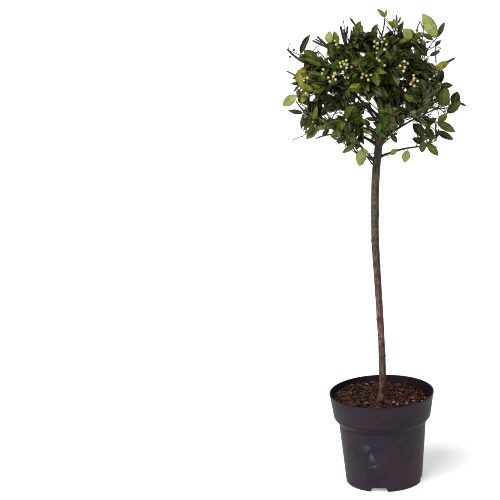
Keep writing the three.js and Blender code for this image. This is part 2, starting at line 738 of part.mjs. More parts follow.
addNode("pot", potSolid(), finishes.pot);
addNode("compost", compostSolid(), finishes.compost);
addNode("stem", stemSolid(), finishes.bark);

const swollenStem = stemSolid(STEM_CUT_GAP);
for (const limb of limbs) {
  const whole = toSolid(limbGeometry(framesAlong(limb.line), (i) => limb.radii[i], BOUGH_SIDES));
  addNode("bough_" + limb.name, largestPiece(whole.subtract(swollenStem)), finishes.bark);
}
for (const limb of limbs) {
  addNode("foliage_" + limb.name, massSolid(limb), finishes.foliage);
}

export default root;
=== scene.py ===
# %% [markdown]
# This lesson dresses a holly that was grown as a standard: a slim clear stem in a nursery pot of
# bark compost, under a round head of boughs, twigs, glossy leaves and small berries. The plain
# solids of the plant are loaded first. They stay the measure of every piece that is made here.

import json
import math

import bmesh
import bpy
import numpy as np
from mathutils import Matrix, Vector, noise

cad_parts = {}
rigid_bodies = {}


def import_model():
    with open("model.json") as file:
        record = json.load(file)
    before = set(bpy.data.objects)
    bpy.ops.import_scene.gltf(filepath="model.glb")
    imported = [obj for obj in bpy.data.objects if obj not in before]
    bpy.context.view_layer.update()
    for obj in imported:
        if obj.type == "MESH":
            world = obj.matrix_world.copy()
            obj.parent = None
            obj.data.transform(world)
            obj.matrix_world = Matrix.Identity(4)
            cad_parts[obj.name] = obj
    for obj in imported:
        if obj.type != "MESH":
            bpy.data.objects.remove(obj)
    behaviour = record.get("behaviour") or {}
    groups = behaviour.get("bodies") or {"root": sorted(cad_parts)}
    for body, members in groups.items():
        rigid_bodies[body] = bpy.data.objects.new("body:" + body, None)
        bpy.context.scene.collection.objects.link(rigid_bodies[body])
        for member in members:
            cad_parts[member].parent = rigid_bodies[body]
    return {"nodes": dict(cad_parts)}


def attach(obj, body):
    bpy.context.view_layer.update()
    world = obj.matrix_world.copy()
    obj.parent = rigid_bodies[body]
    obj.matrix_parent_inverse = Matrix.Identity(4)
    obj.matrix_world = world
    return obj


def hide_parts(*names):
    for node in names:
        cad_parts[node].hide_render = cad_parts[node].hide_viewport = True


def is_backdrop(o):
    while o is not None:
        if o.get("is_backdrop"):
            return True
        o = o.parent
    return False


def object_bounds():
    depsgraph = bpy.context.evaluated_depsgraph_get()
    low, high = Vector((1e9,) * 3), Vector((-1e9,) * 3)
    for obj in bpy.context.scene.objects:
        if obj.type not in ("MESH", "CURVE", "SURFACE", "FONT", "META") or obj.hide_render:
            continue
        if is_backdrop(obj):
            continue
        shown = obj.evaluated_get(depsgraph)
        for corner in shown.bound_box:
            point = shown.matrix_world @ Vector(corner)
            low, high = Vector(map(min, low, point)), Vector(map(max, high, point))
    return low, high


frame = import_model()
cad_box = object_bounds()
print("plain solids", len(frame["nodes"]), "height", round(cad_box[1].z, 3))

# %% [markdown]
# The camera stands where the photographer stood. Its place and its turn were fitted to the round
# rim, the collar and the foot of the pot, so a pixel of the photograph can be followed back to a
# place on the plant. The long lens keeps the pot's sides nearly parallel.

# %% Camera
PHOTO_SIDE = 500
SENSOR = 36.0
FOCAL_PIXELS = 2236
EYE = Vector((0.0, -5.7, 2.22))
YAW, PITCH, ROLL = 0.0588, -0.2675, -0.0474


def camera_axes():
    """The camera's right, up and forward directions."""
    forward = Vector(
        (-math.sin(YAW) * math.cos(PITCH), math.cos(YAW) * math.cos(PITCH), math.sin(PITCH))
    )
    level = Vector((math.cos(YAW), math.sin(YAW), 0.0))
    upright = level.cross(forward)
    right = math.cos(ROLL) * level + math.sin(ROLL) * upright
    top = math.cos(ROLL) * upright - math.sin(ROLL) * level
    return right, top, forward


view_right, view_top, view_forward = camera_axes()
camera_data = bpy.data.cameras.new("camera")
camera_data.sensor_width = SENSOR
camera_data.lens = FOCAL_PIXELS / PHOTO_SIDE * SENSOR
camera = bpy.data.objects.new("camera", camera_data)
bpy.context.scene.collection.objects.link(camera)
turn = Matrix((view_right, view_top, -view_forward)).transposed()
camera.matrix_world = Matrix.Translation(EYE) @ turn.to_4x4()
bpy.context.scene.camera = camera
print("lens", round(camera_data.lens, 1))

# %% [markdown]
# The measurements are in millimetres, as on a gardener's rule, and are turned into metres where a
# mesh is made. A place that was read from the photograph is found on an upright plane across the
# plant, a stated distance behind the stem's middle.

# %% Places in the photograph
MM = 0.001


def place_in_photo(pixel, behind):
    """The point, in millimetres, where a pixel's line of sight meets the plane y = behind."""
    across = (pixel[0] - PHOTO_SIDE / 2) / FOCAL_PIXELS
    rise = (PHOTO_SIDE / 2 - pixel[1]) / FOCAL_PIXELS
    sight = view_forward + across * view_right + rise * view_top
    reach = (behind * MM - EYE.y) / sight.y
    return (EYE + reach * sight) / MM


def pixel_of(p):
    """The pixel of the photograph where a point in millimetres shows."""
    offset = p * MM - EYE
    scale = FOCAL_PIXELS / offset.dot(view_forward)
    x = PHOTO_SIDE / 2 + offset.dot(view_right) * scale
    return x, PHOTO_SIDE / 2 - offset.dot(view_top) * scale


crown_middle = place_in_photo((375, 90), 0)
print("crown's middle", [round(value) for value in crown_middle], "pixel", pixel_of(crown_middle))

# %% [markdown]
# The plant grows by a rule with seeded chance. The same rule made the plain solids, so the same
# seed gives the same boughs and shoots here, and finer twigs and leaves can be added to them. A
# small generator of our own is used, because it must give the same numbers in both programs.

# %% Seeded chance
WORD = 0xFFFFFFFF


def seeded(seed):
    """A function that gives numbers from 0 to 1, the same on every run."""
    state = seed & WORD

    def draw():
        nonlocal state
        state = (state + 0x6D2B79F5) & WORD
        t = ((state ^ (state >> 15)) * (state | 1)) & WORD
        t ^= (t + (((t ^ (t >> 7)) * (t | 61)) & WORD)) & WORD
        return ((t ^ (t >> 14)) & WORD) / (WORD + 1)

    return draw


def mix(a, b, share):
    """The value a share of the way from a to b."""
    return a + (b - a) * share


def scatter(random, spread=1.0):
    """A random offset within a cube of that half side."""
    return Vector((random() - 0.5, random() - 0.5, random() - 0.5)) * (2 * spread)


print("first chance", round(seeded(1000)(), 4))

# %% [markdown]
# The stem's line and girth are written as a few stations from the compost up to the fork. Between
# them the stem runs smoothly, because a young stem has bends but no corners.

# %% The stem's line
STEM_STATIONS = [
    (226, 1, 0, 9.0),
    (300, 5, -2, 8.2),
    (400, 4, -3, 8.0),
    (510, 1, -1, 8.3),
    (620, -3, 2, 8.8),
    (700, -4, 3, 9.3),
    (810, 0, 2, 9.4),
    (870, 5, 0, 9.6),
    (920, 12, -2, 9.2),
    (970, 19, -2, 7.8),
    (1010, 22, 0, 6.4),
    (1042, 22, 2, 4.8),
]
STEM_FOOT, STEM_TOP = STEM_STATIONS[0][0], STEM_STATIONS[-1][0]


def stem_at(z):
    """The stem's middle and radius at a height, in straight stretches as the solids have it."""
    reached = [i for i, station in enumerate(STEM_STATIONS) if station[0] >= z]
    upper = max(1, reached[0]) if reached else len(STEM_STATIONS) - 1
    low, high = STEM_STATIONS[upper - 1], STEM_STATIONS[upper]
    share = (z - low[0]) / (high[0] - low[0])
    x, y, radius = (mix(low[k], high[k], share) for k in (1, 2, 3))
    return Vector((x, y, z)), radius


print("stem from", STEM_FOOT, "to", STEM_TOP)

# %% [markdown]
# The head is a rounded, slightly lumpy block, and each bough feeds one mass of foliage in it. A
# mass keeps to the part of the head that is nearest to its own middle, as real boughs share the
# light. A low mass hangs under the head and has a reach of its own, and a spur is a shoot that
# has grown out beyond the rest.

# %% The head and its boughs
HEAD_CENTRE = Vector((6, 0, 1080))
HEAD_HALF_WIDTH, HEAD_RISE, HEAD_DROP = 224, 184, 146
HEAD_SQUARENESS = 3
HEAD_LUMP, HEAD_LOBES, HEAD_LOBE_PHASE, HEAD_LOBE_TWIST = 0.05, 3, 1.1, 50
FORK_Z = 1000
SPUR_SPACE_R = 56
# The bough's name, azimuth in degrees, and height on the stem, how far out and how high its mass's
# middle is, its radius at the stem, and the reach of a mass that hangs low.
LIMB_WORDS = ("name", "azimuth", "start", "out", "up", "base", "reach")
LIMB_ROWS = [
    ("low_right", -14, 893, 146, 940, 3.2, 62), ("low_left", -165, 880, 70, 930, 3.0, 62),
    ("low_back", 75, 886, 104, 938, 3.2, 70), ("skirt_right", 4, 935, 152, 1024, 4.2),
    ("skirt_back_right", 62, 920, 148, 1018, 4.0), ("skirt_back_left", 122, 938, 148, 1022, 4.0),
    ("skirt_left", 178, 926, 152, 1012, 4.2), ("skirt_front_left", -118, 945, 144, 1030, 4.0),
    ("skirt_front_right", -56, 955, 146, 1036, 4.0), ("upper_right", -24, 985, 132, 1150, 4.2),
    ("upper_back_right", 34, 972, 132, 1150, 4.0), ("upper_back", 92, 990, 130, 1142, 4.0),
    ("upper_back_left", 148, 976, 134, 1138, 4.0), ("upper_left", -152, 996, 138, 1142, 4.2),
    ("upper_front", -88, 1004, 126, 1138, 4.0), ("top_right", 18, 1024, 52, 1196, 3.8),
    ("top_left", 150, 1016, 68, 1190, 3.6), ("top_front", -98, 1030, 58, 1192, 3.6),
]
LIMBS = [dict(zip(LIMB_WORDS, row)) for row in LIMB_ROWS]
SPURS = {
    "top_right": [(40, 6, 1238)],
    "upper_right": [(156, -32, 1226)],
    "skirt_right": [(192, -8, 1034)],
    "upper_left": [(-168, -48, 1188)],
    "skirt_left": [(-192, -14, 1056), (-186, -20, 960)],
}

for limb in LIMBS:
    azimuth = math.radians(limb["azimuth"])
    across = HEAD_CENTRE.x + limb["out"] * math.cos(azimuth)
    limb["centre"] = Vector((across, limb["out"] * math.sin(azimuth), limb["up"]))
    limb["spurs"] = [Vector(end) for end in SPURS.get(limb["name"], [])]


def head_share(p, margin):
    """How far out in the head a point lies: 0 at its centre, 1 on its outline."""
    offset = p - HEAD_CENTRE
    turned = HEAD_LOBES * math.atan2(offset.y, offset.x) + HEAD_LOBE_PHASE + p.z / HEAD_LOBE_TWIST
    lumps = 1 + HEAD_LUMP * math.sin(turned)
    level = math.hypot(offset.x, offset.y) / (HEAD_HALF_WIDTH * lumps - margin)
    upright = abs(offset.z) / ((HEAD_RISE if offset.z > 0 else HEAD_DROP) * lumps - margin)
    return (level**HEAD_SQUARENESS + upright**HEAD_SQUARENESS) ** (1 / HEAD_SQUARENESS)


def holds(mass, p, margin):
    """True where a point is inside a mass's own space, which its neighbours' spaces bound."""
    if "reach" in mass:
        within = (p - mass["centre"]).length <= mass["reach"] - margin
    else:
        within = head_share(p, margin) <= 1 or any(
            (p - end).length <= SPUR_SPACE_R - margin for end in mass["spurs"]
        )
    if not within:
        return False
    offset = p - mass["centre"]
    for other in LIMBS:
        if other is not mass:
            towards = other["centre"] - mass["centre"]
            span = towards.length
            if offset.dot(towards) / span > span / 2 - margin:
                return False
    return True


print("masses", len(LIMBS))

# %% [markdown]
# A bough leaves the stem a little upwards and bends over to the middle of its mass. It ends where
# it enters the mass's own space, and from there its leading shoot carries on.

# %% The boughs' lines
CLEARANCE = 0.3
BOUGH_STEPS, BOUGH_TIP_R, BOUGH_RISE = 4, 2.3, 0.22
BOUGH_LEAST_SHARE, BOUGH_SHARE_STEP, BOUGH_ENTRY = 0.5, 0.01, 8


def bend(start, heading, end, steps):
    """Points along a curve that leaves start towards heading and arrives at end."""
    middle = start + heading * ((end - start).length * 0.5)
    shares = [i / steps for i in range(steps + 1)]
    return [start * (1 - s) ** 2 + middle * (2 * s * (1 - s)) + end * s**2 for s in shares]


for limb in LIMBS:
    start = stem_at(limb["start"])[0]
    to_centre = limb["centre"] - start
    share = BOUGH_LEAST_SHARE
    while not holds(limb, start + to_centre * share, BOUGH_ENTRY):
        share += BOUGH_SHARE_STEP
    heading = (to_centre.normalized() + Vector((0, 0, BOUGH_RISE))).normalized()
    limb["line"] = bend(start, heading, start + to_centre * share, BOUGH_STEPS)
    limb["arrival"] = (limb["line"][-1] - limb["line"][-2]).normalized()
print("longest bough", round(max((limb["line"][-1] - limb["line"][0]).length for limb in LIMBS)))

# %% [markdown]
# Leaves must not grow through the wood. The stem and the boughs are kept as straight stretches in
# arrays, so that the distance from a point to all of them is found at once.

# %% Distance to the wood
LIMB_GAP = 2.5


def wood_stretches():
    """The starts, runs and radii of every stretch of the stem and the boughs."""
    lines = [[stem_at(station[0]) for station in STEM_STATIONS]]
    for limb in LIMBS:
        steps = len(limb["line"]) - 1
        lines.append([(p, mix(limb["base"], BOUGH_TIP_R, i / steps)) for i, p in enumerate(limb["line"])])
    rows = [(*a, *(b - a), r) for line in lines for (a, r), (b, _) in zip(line, line[1:])]
    rows = np.array(rows)
    return rows[:, :3], rows[:, 3:6], rows[:, 6]


wood_starts, wood_runs, wood_radii = wood_stretches()
wood_squares = (wood_runs**2).sum(1)


def wood_clearance(p):
    """The least distance from a point to the bark of the stem and the boughs."""
    offset = np.array(p) - wood_starts
    share = np.clip((offset * wood_runs).sum(1) / wood_squares, 0, 1)
    return (np.linalg.norm(offset - share[:, None] * wood_runs, axis=1) - wood_radii).min()


def runs_clear(start, end, gap, samples=9):
    """True where a straight line keeps its distance from the wood, apart from its first part."""
    return all(wood_clearance(start.lerp(end, (i + 1) / samples)) >= gap for i in range(2, samples))


print("stretches of wood", len(wood_starts))

# %% [markdown]
# The shoots of a mass follow the source's rule: a leading shoot carries on from the bough, and
# side shoots leave it for ends that are spread evenly through the mass's space. Each leaves the
# leading shoot where that makes the natural angle.

# %% Shoots
LEADER_STEPS, LEADER_STRIDE = 3, 3
SHOOT_STARTS = [0.1, 0.2, 0.3, 0.4, 0.5, 0.6, 0.7, 0.8]
SHOOT_SHORTEST, SHOOT_SPACING, SHOOT_TRIES, SHOOT_REACH = 30, 47, 900, 150
SHOOT_LEAN, SHOOT_INNER_SHARE, SHOOT_EDGE_GAP = 0.8, 0.3, 18
LEADER_TIP_R, SHOOT_ROOT_R, SHOOT_TIP_R, SHOOT_STEPS = 1.0, 1.6, 0.9, 7
SHOOT_FOLLOW, SHOOT_SAG = 0.45, Vector((0, 0, -0.12))
SHOOT_SEED = 1000
OLD, YOUNG, NEW = 2, 1, 0


class Shoot:
    """A shoot: its line, its radius at both ends, its age, its mass and the shoot it springs from."""

    def __init__(self, line, r0, r1, age, mass, parent=None):
        self.r0, self.r1, self.age, self.mass = r0, r1, age, mass
        self.parent, self.bears = parent, age == OLD
        self.follow(line)

    def follow(self, line):
        """Take a line as the shoot's own."""
        self.line = line
        self.length = sum((b - a).length for a, b in zip(line, line[1:]))

    def at(self, share):
        """The point and the direction at a share of the shoot."""
        steps = len(self.line) - 1
        i = min(int(share * steps), steps - 1)
        a, b = self.line[i], self.line[i + 1]
        return a.lerp(b, share * steps - i), (b - a).normalized()

    def radius(self, share):
        return mix(self.r0, self.r1, share)

    def bear(self):
        """Note that this shoot carries something, and so does the one it springs from."""
        self.bears = True
        if self.parent:
            self.parent.bear()


def grow_shoots(mass):
    """The leading shoot of a mass and its side shoots."""
    random = seeded(SHOOT_SEED + LIMBS.index(mass))
    root = mass["line"][-1] + mass["arrival"] * CLEARANCE
    away = (mass["centre"] - Vector((HEAD_CENTRE.x, 0, FORK_Z))).normalized()
    if mass["spurs"]:
        tip = mass["spurs"][0]
    else:
        tip = mass["centre"].copy()
        while holds(mass, tip, SHOOT_EDGE_GAP):
            tip += away * LEADER_STRIDE
    rough, leader = (
        Shoot(bend(root, mass["arrival"], tip, steps), BOUGH_TIP_R, LEADER_TIP_R, OLD, mass)
        for steps in (LEADER_STEPS, 4 * LEADER_STEPS)
    )
    reach = mass.get("reach", SHOOT_REACH)
    scattered = [scatter(random, reach) + mass["centre"] for _ in range(SHOOT_TRIES)]
    wanted = [end for end in scattered if holds(mass, end, SHOOT_EDGE_GAP)]
    if "reach" not in mass:
        wanted = [end for end in wanted if head_share(end, 0) > SHOOT_INNER_SHARE]
    shoots, ends = [leader], [tip]
    for end in [*mass["spurs"][1:], *wanted]:
        if any((e - end).length < SHOOT_SPACING for e in ends):
            continue
        starts = [rough.at(share) for share in SHOOT_STARTS]
        start, along = min(starts, key=lambda at: abs((end - at[0]).angle(at[1]) - SHOOT_LEAN))
        if (end - start).length < SHOOT_SHORTEST or not runs_clear(start, end, LIMB_GAP):
            continue
        heading = ((end - start).normalized() + along * SHOOT_FOLLOW + SHOOT_SAG).normalized()
        line = bend(start, heading, end, SHOOT_STEPS)
        shoots.append(Shoot(line, SHOOT_ROOT_R, SHOOT_TIP_R, YOUNG, mass, leader))
        ends.append(end)
    return shoots


shoots = [shoot for limb in LIMBS for shoot in grow_shoots(limb)]
print("shoots", len(shoots), "in", len(LIMBS), "masses")

# %% [markdown]
# The head isn't solid: its edge is ragged, and sky shows through it in many small windows. Both
# are read from the photograph in pixels, and no leaf or berry that would close one of them is
# grown. The shoots are cut back to the outline.

# %% Sky in the photograph
# The outline of the head between its standing-out leaves, clockwise from the left, in pixels.
HEAD_OUTLINE = [
    (295, 93), (297, 78), (301, 70), (302, 63), (299, 56), (303, 50), (311, 47), (318, 50),
    (322, 61), (327, 58), (326, 47), (325, 36), (331, 30), (337, 31), (341, 43), (346, 46),
    (350, 40), (352, 29), (357, 22), (362, 23), (364, 31), (370, 32), (374, 25), (378, 24),
    (381, 35), (387, 35), (389, 23), (402, 20), (403, 34), (406, 29), (413, 28), (419, 31),
    (425, 35), (427, 44), (426, 56), (431, 64), (437, 66), (443, 72), (445, 83), (449, 88),
    (451, 100), (448, 112), (443, 118), (438, 124), (443, 133), (438, 140), (439, 153),
    (430, 153), (424, 146), (416, 143), (411, 137), (412, 127), (408, 118), (402, 124),
    (396, 137), (391, 140), (386, 134), (375, 134), (362, 135), (362, 150), (352, 149),
    (345, 152), (343, 145), (333, 141), (322, 135), (313, 141), (307, 140), (303, 133),
    (299, 125), (301, 114), (296, 108), (298, 100),
]
# Gaps inside the head: middle across and down, half width and half height, in pixels.
SKY_WINDOWS = [
    (360, 99, 9, 3.5), (372, 116, 6.5, 3.5), (341, 113, 6.5, 3.5), (325, 118, 3, 5),
    (334, 115, 4, 3.5), (329, 133, 6, 3.5), (320, 136, 5, 3.5), (436, 113, 9, 4.5),
    (437, 107, 6, 3), (430, 42, 5, 5.5), (394, 31, 3.5, 4.5), (339, 37, 3, 5), (424, 130, 3, 4),
    (435, 126, 4, 3), (307, 124, 4, 3), (423, 57, 4, 2.5), (379, 34, 2.5, 4), (373, 128, 2.5, 3),
    (304, 106, 3, 3), (425, 113, 3, 2.5), (403, 105, 3, 2.5), (414, 50, 2.5, 2.5),
    (350, 103, 2.5, 2.5), (388, 136, 2, 3), (374, 99, 2.5, 3), (348, 41, 2, 3), (435, 98, 2, 2),
    (361, 55, 2, 3.5), (329, 62, 2, 2), (330, 93, 2.5, 2), (312, 97, 3, 2.5), (402, 79, 3, 2),
    (405, 90, 3, 2), (409, 117, 2.5, 5), (345, 122, 2.5, 2.5), (387, 118, 2, 2),
]
# Pixels across and down where the stem hides what grows behind it.
STEM_SCREEN = ((370, 387), (128, 146))
outline = np.array(HEAD_OUTLINE, float)
outline_next = np.roll(outline, -1, axis=0)
window_middles, window_sizes = np.hsplit(np.array(SKY_WINDOWS, float), 2)


def in_outline(pixel):
    """True where a pixel is inside the head's outline: its level crosses the outline oddly."""
    x, y = pixel
    crossing = (outline[:, 1] > y) != (outline_next[:, 1] > y)
    a, b = outline[crossing], outline_next[crossing]
    meets = a[:, 0] + (y - a[:, 1]) * (b[:, 0] - a[:, 0]) / (b[:, 1] - a[:, 1])
    return int((meets > x).sum()) % 2 == 1


def behind_stem(pixel, mass):
    """True where the stem's top hides the leaves of the bough behind it."""
    (left, right), (top, bottom) = STEM_SCREEN
    return mass["name"] == "low_back" and left < pixel[0] < right and top < pixel[1] < bottom


def shows_sky(p, mass=None):
    """True where the photograph shows sky at a point's pixel."""
    pixel = pixel_of(p)
    if mass is not None and behind_stem(pixel, mass):
        return False
    off = (np.array(pixel) - window_middles) / window_sizes
    return bool(((off**2).sum(1) < 1).any()) or not in_outline(pixel)


def closes_window(root, tip, side):
    """True where a blade, seen as a spindle, reaches into a window's inner half."""
    a, b = np.array(pixel_of(root)), np.array(pixel_of(tip))
    middle = (root + tip) / 2
    half_width = math.dist(pixel_of(middle + side), pixel_of(middle))
    run = b - a
    shares = np.clip(((window_middles - a) @ run) / max(run @ run, 1e-6), 0, 1)
    gaps = np.linalg.norm(window_middles - (a + shares[:, None] * run), axis=1)
    reach = half_width * 4 * shares * (1 - shares) + window_sizes.min(1) * 0.5
    return bool((gaps < reach).any())


def cut_back(axis):
    """Cut a shoot back to where it leaves the head's outline in the photograph."""
    pixels = [pixel_of(p) for p in axis.line]
    inside = [i for i, p in enumerate(pixels) if in_outline(p) or behind_stem(p, axis.mass)]
    last = inside[-1] if inside else len(axis.line) // 3
    axis.follow(axis.line[: max(last + 1, 2)])


for shoot in shoots:
    cut_back(shoot)
print("shortest shoot", round(min(shoot.length for shoot in shoots)))

# %% [markdown]
# Real shoots branch again into short twigs, and these carry most of the leaves. A twig leaves its
# shoot at the golden angle after the one before, so twigs stand all round it, and it bends up and
# out to the light. Where it would leave its mass's space it is made shorter or left out.

# %% Twigs
GOLDEN_ANGLE = math.radians(137.5)
TWIG_SEED = 3000
TWIG_PITCH, TWIG_LONGEST, TWIG_SHORTEST = 15, 62, 24
TWIG_LEANS, TWIG_SHORTENINGS = (0.55, 1.1), (1.0, 0.72, 0.5)
TWIG_FIRST, TWIG_RANGE = 0.2, 0.74
TWIG_ROOT_R, TWIG_TIP_R = 1.05, 0.7
TWIG_OUTWARD, TWIG_LIFT = 0.25, Vector((0, 0, 0.15))
TWIG_EDGE_GAP = 9


def across_axis(along):
    """A direction at right angles to a line."""
    reference = Vector((0, 0, 1)) if abs(along.z) < 0.9 else Vector((1, 0, 0))
    return reference.cross(along).normalized()


def aside(along, turned, lean):
    """The direction that leans away from a line, turned about it."""
    first = across_axis(along)
    radial = first * math.cos(turned) + along.cross(first) * math.sin(turned)
    return along * math.cos(lean) + radial * math.sin(lean), radial


def outward(p):
    """The direction from the head's middle to a point."""
    return (p - HEAD_CENTRE).normalized()


def grow_twigs(shoot, random):
    """Short twigs along a shoot, longest near its foot."""
    twigs = []
    turned = random() * 2 * math.pi
    count = int(shoot.length / TWIG_PITCH)
    for k in range(count):
        share = TWIG_FIRST + TWIG_RANGE * (k + 0.6 * random()) / count
        turned += GOLDEN_ANGLE
        start, along = shoot.at(share)
        direction, _ = aside(along, turned, mix(*TWIG_LEANS, random()))
        direction = (direction + outward(start) * TWIG_OUTWARD + TWIG_LIFT).normalized()
        length = mix(TWIG_LONGEST, TWIG_SHORTEST, share) * (0.7 + 0.6 * random())
        for shorter in TWIG_SHORTENINGS:
            end = start + direction * length * shorter + scatter(random, 4)
            if holds(shoot.mass, end, TWIG_EDGE_GAP) and wood_clearance(end) > 2 * LIMB_GAP:
                heading = (direction + along * 0.5).normalized()
                line = bend(start, heading, end, 4)
                twigs.append(Shoot(line, TWIG_ROOT_R, TWIG_TIP_R, NEW, shoot.mass, shoot))
                break
    return twigs


twigs = []
for limb in LIMBS:
    chance = seeded(TWIG_SEED + LIMBS.index(limb))
    for shoot in shoots:
        if shoot.mass is limb:
            twigs += grow_twigs(shoot, chance)
ends = [pixel_of(twig.line[-1]) for twig in twigs]
twigs = [twig for twig, end in zip(twigs, ends) if in_outline(end) or behind_stem(end, twig.mass)]
print("twigs", len(twigs))

# %% [markdown]
# Some leaves give this head its outline in the photograph: the two that crown the top shoot, the
# large pale ones at the edges, those that hang under the head, and the bright green young ones in
# front of the fork. Each is placed by the pixels of its root and its tip, and turned to face the
# viewer. The leaves that grow by the rule leave the view of them open.

# %% Leaves that stand out
# Root pixel, tip pixel, millimetres behind the stem's middle, width share, fold, colour.
STANDOUT_LEAVES = {
    "top shoot": [
        ((384.8, 17.5), (377.5, 8.5), 6, 0.42, 0.4, "olive"),
        ((384.8, 17.5), (386.8, 9.5), 0, 0.4, 0.5, "olive"),
    ],
    "crest": [
        ((396.5, 28), (388.5, 21), -10, 0.6, 0.2, "olive"),
        ((398, 37), (403.5, 20.5), -18, 0.26, 0.5, "deep"), ((396, 29), (394, 18.5), -20, 0.6, 0.3, "olive"),
    ],
    "upper right": [
        ((436.5, 37), (423, 13), -60, 0.46, 0.06, "pale"), ((437, 37), (445, 22), 10, 0.34, 0.4, "deep"),
        ((412, 38), (403, 29), -70, 0.85, 0.05, "pale"), ((413, 38), (397, 43), -50, 0.4, 0.3, "green"),
        ((435, 46), (441, 40), 10, 0.5, 0.5, "deep"), ((430, 56), (440.5, 50.5), -40, 0.4, 0.4, "deep"),
        ((427, 56), (413.5, 41), -70, 0.5, 0.15, "deep"),
    ],
    "right edge": [
        ((435, 70), (450, 60.5), -50, 0.44, 0.25, "olive"),
        ((446.5, 62.5), (456, 57.5), -52, 0.26, 0.5, "deep"), ((436, 84), (443, 70), 30, 0.62, 0.2, "deep"),
        ((440, 86), (453, 85), -10, 0.5, 0.3, "deep"), ((446, 87), (442, 108), -56, 0.52, 0.05, "green"),
        ((453.5, 105), (457.5, 91.5), 0, 0.72, 0.2, "deep"),
        ((447, 113), (461, 101), -10, 0.5, 0.15, "green"), ((458, 103), (467, 106), 0, 0.3, 0.6, "deep"),
    ],
    "lower right": [
        ((437, 122), (456, 132), -44, 0.4, 0.3, "green"), ((437, 131), (454, 140), 36, 0.4, 0.5, "deep"),
        ((426, 124), (437, 118), -24, 0.5, 0.3, "green"), ((424, 136), (413, 123), -70, 0.62, 0.2, "deep"),
        ((426, 127), (433, 141), -50, 0.56, 0.2, "deep"), ((427, 143), (439, 156), -40, 0.42, 0.15, "green"),
        ((423, 141), (422, 153), -44, 0.6, 0.3, "green"), ((424, 143), (412, 138), -40, 0.5, 0.2, "deep"),
    ],
    "hanging under the head": [
        ((390, 154.5), (397.5, 149), -30, 0.6, 0.3, "pale"),
        ((407.5, 150.3), (404.6, 163), -50, 0.62, 0.1, "pale"),
        ((391, 134), (397.5, 143), -30, 0.5, 0.4, "deep"),
        ((362, 148.5), (359.8, 167), -34, 0.54, 0.12, "pale"),
        ((362.5, 149), (369, 154.5), -40, 0.5, 0.2, "pale"),
        ((356, 143), (342, 153.5), -30, 0.34, 0.4, "green"),
    ],
    "left edge": [
        ((296.5, 95.5), (282.5, 106), -50, 0.56, 0.12, "pale"),
        ((303, 113), (288, 110.5), 24, 0.34, 0.5, "deep"), ((304, 113), (301, 130), -44, 0.28, 0.6, "deep"),
        ((318, 127), (306, 139), 20, 0.5, 0.3, "green"), ((302, 84), (291, 83.5), 10, 0.4, 0.5, "deep"),
        ((301, 84), (293, 92), -14, 0.3, 0.5, "deep"), ((300.5, 54), (309, 34), 30, 0.34, 0.5, "deep"),
        ((318, 62), (304, 50), -76, 0.6, 0.2, "green"), ((296, 82), (306, 66), -40, 0.5, 0.3, "olive"),
    ],
    "top left": [
        ((328.5, 43), (329.5, 31), -60, 0.7, 0.1, "pale"), ((356, 27), (349.5, 17), -46, 0.24, 0.6, "deep"),
        ((358, 35), (353, 26), -60, 0.6, 0.3, "green"), ((356, 33), (360.5, 21), 10, 0.55, 0.3, "green"),
        ((372, 34), (377.5, 24), -66, 0.5, 0.3, "deep"),
    ],
    "more at the left": [
        ((353, 106.5), (371, 103.5), -70, 0.3, 0.4, "deep"), ((338, 45), (334, 31), 10, 0.42, 0.2, "olive"),
        ((345, 50), (337, 44), -40, 0.6, 0.3, "deep"), ((306, 59), (325, 66), -90, 0.32, 0.3, "green"),
        ((314, 121), (316.5, 106), -60, 0.4, 0.2, "olive"), ((308, 116), (301, 128), -30, 0.4, 0.4, "deep"),
        ((312, 119), (303, 131), -20, 0.36, 0.3, "green"), ((300, 76), (292.5, 79), 20, 0.5, 0.4, "deep"),
        ((329, 129), (322, 136), -24, 0.5, 0.3, "deep"), ((348, 133), (336, 142), -30, 0.4, 0.3, "deep"),
    ],
    "more at the right": [
        ((438, 121.5), (447.5, 114), -16, 0.62, 0.2, "olive"),
        ((411, 114), (423, 123), -40, 0.42, 0.3, "deep"), ((421, 116), (432, 122), -30, 0.44, 0.3, "deep"),
        ((414, 41), (420, 32), -60, 0.5, 0.3, "green"), ((433, 40), (422, 33), -36, 0.42, 0.3, "green"),
    ],
    "in front of the fork": [
        ((391, 121), (377.5, 113.5), -60, 0.42, 0.25, "bright"),
        ((386, 130), (401, 121), -66, 0.44, 0.25, "bright"),
        ((392, 117), (404, 111.5), -70, 0.46, 0.25, "bright"),
        ((381, 122), (376.5, 135), -56, 0.46, 0.25, "bright"),
        ((384, 128), (387.5, 114), -74, 0.46, 0.25, "bright"),
        ((381, 111), (379, 98), -70, 0.5, 0.25, "bright"), ((377, 132), (387, 138), -50, 0.4, 0.25, "bright"),
        ((376, 120), (365.5, 118), -50, 0.4, 0.3, "deep"), ((371, 133), (359, 128), -50, 0.44, 0.3, "olive"),
    ],
    "light ones at the left": [
        ((304, 90), (299, 77), -70, 0.5, 0.2, "olive"), ((311, 80), (300.5, 72.5), -90, 0.46, 0.2, "green"),
        ((313, 91), (303, 84), -100, 0.46, 0.2, "olive"), ((321, 75), (308, 71.5), -110, 0.36, 0.2, "green"),
        ((301, 103), (307, 91), -80, 0.44, 0.2, "olive"), ((322, 89), (311, 83.5), -110, 0.42, 0.2, "green"),
    ],
}
STANDOUT_VIEW_SHARE = 0.3
standouts = [row for rows in STANDOUT_LEAVES.values() for row in rows]
standout_middles, standout_reach, standout_distances = [], [], []
for root_pixel, tip_pixel, behind, *_ in standouts:
    middle = [(a + b) / 2 for a, b in zip(root_pixel, tip_pixel)]
    standout_middles.append(middle)
    standout_reach.append(1 + STANDOUT_VIEW_SHARE * math.dist(root_pixel, tip_pixel))
    standout_distances.append((place_in_photo(middle, behind) * MM - EYE).length)
standout_middles, standout_reach = np.array(standout_middles), np.array(standout_reach)


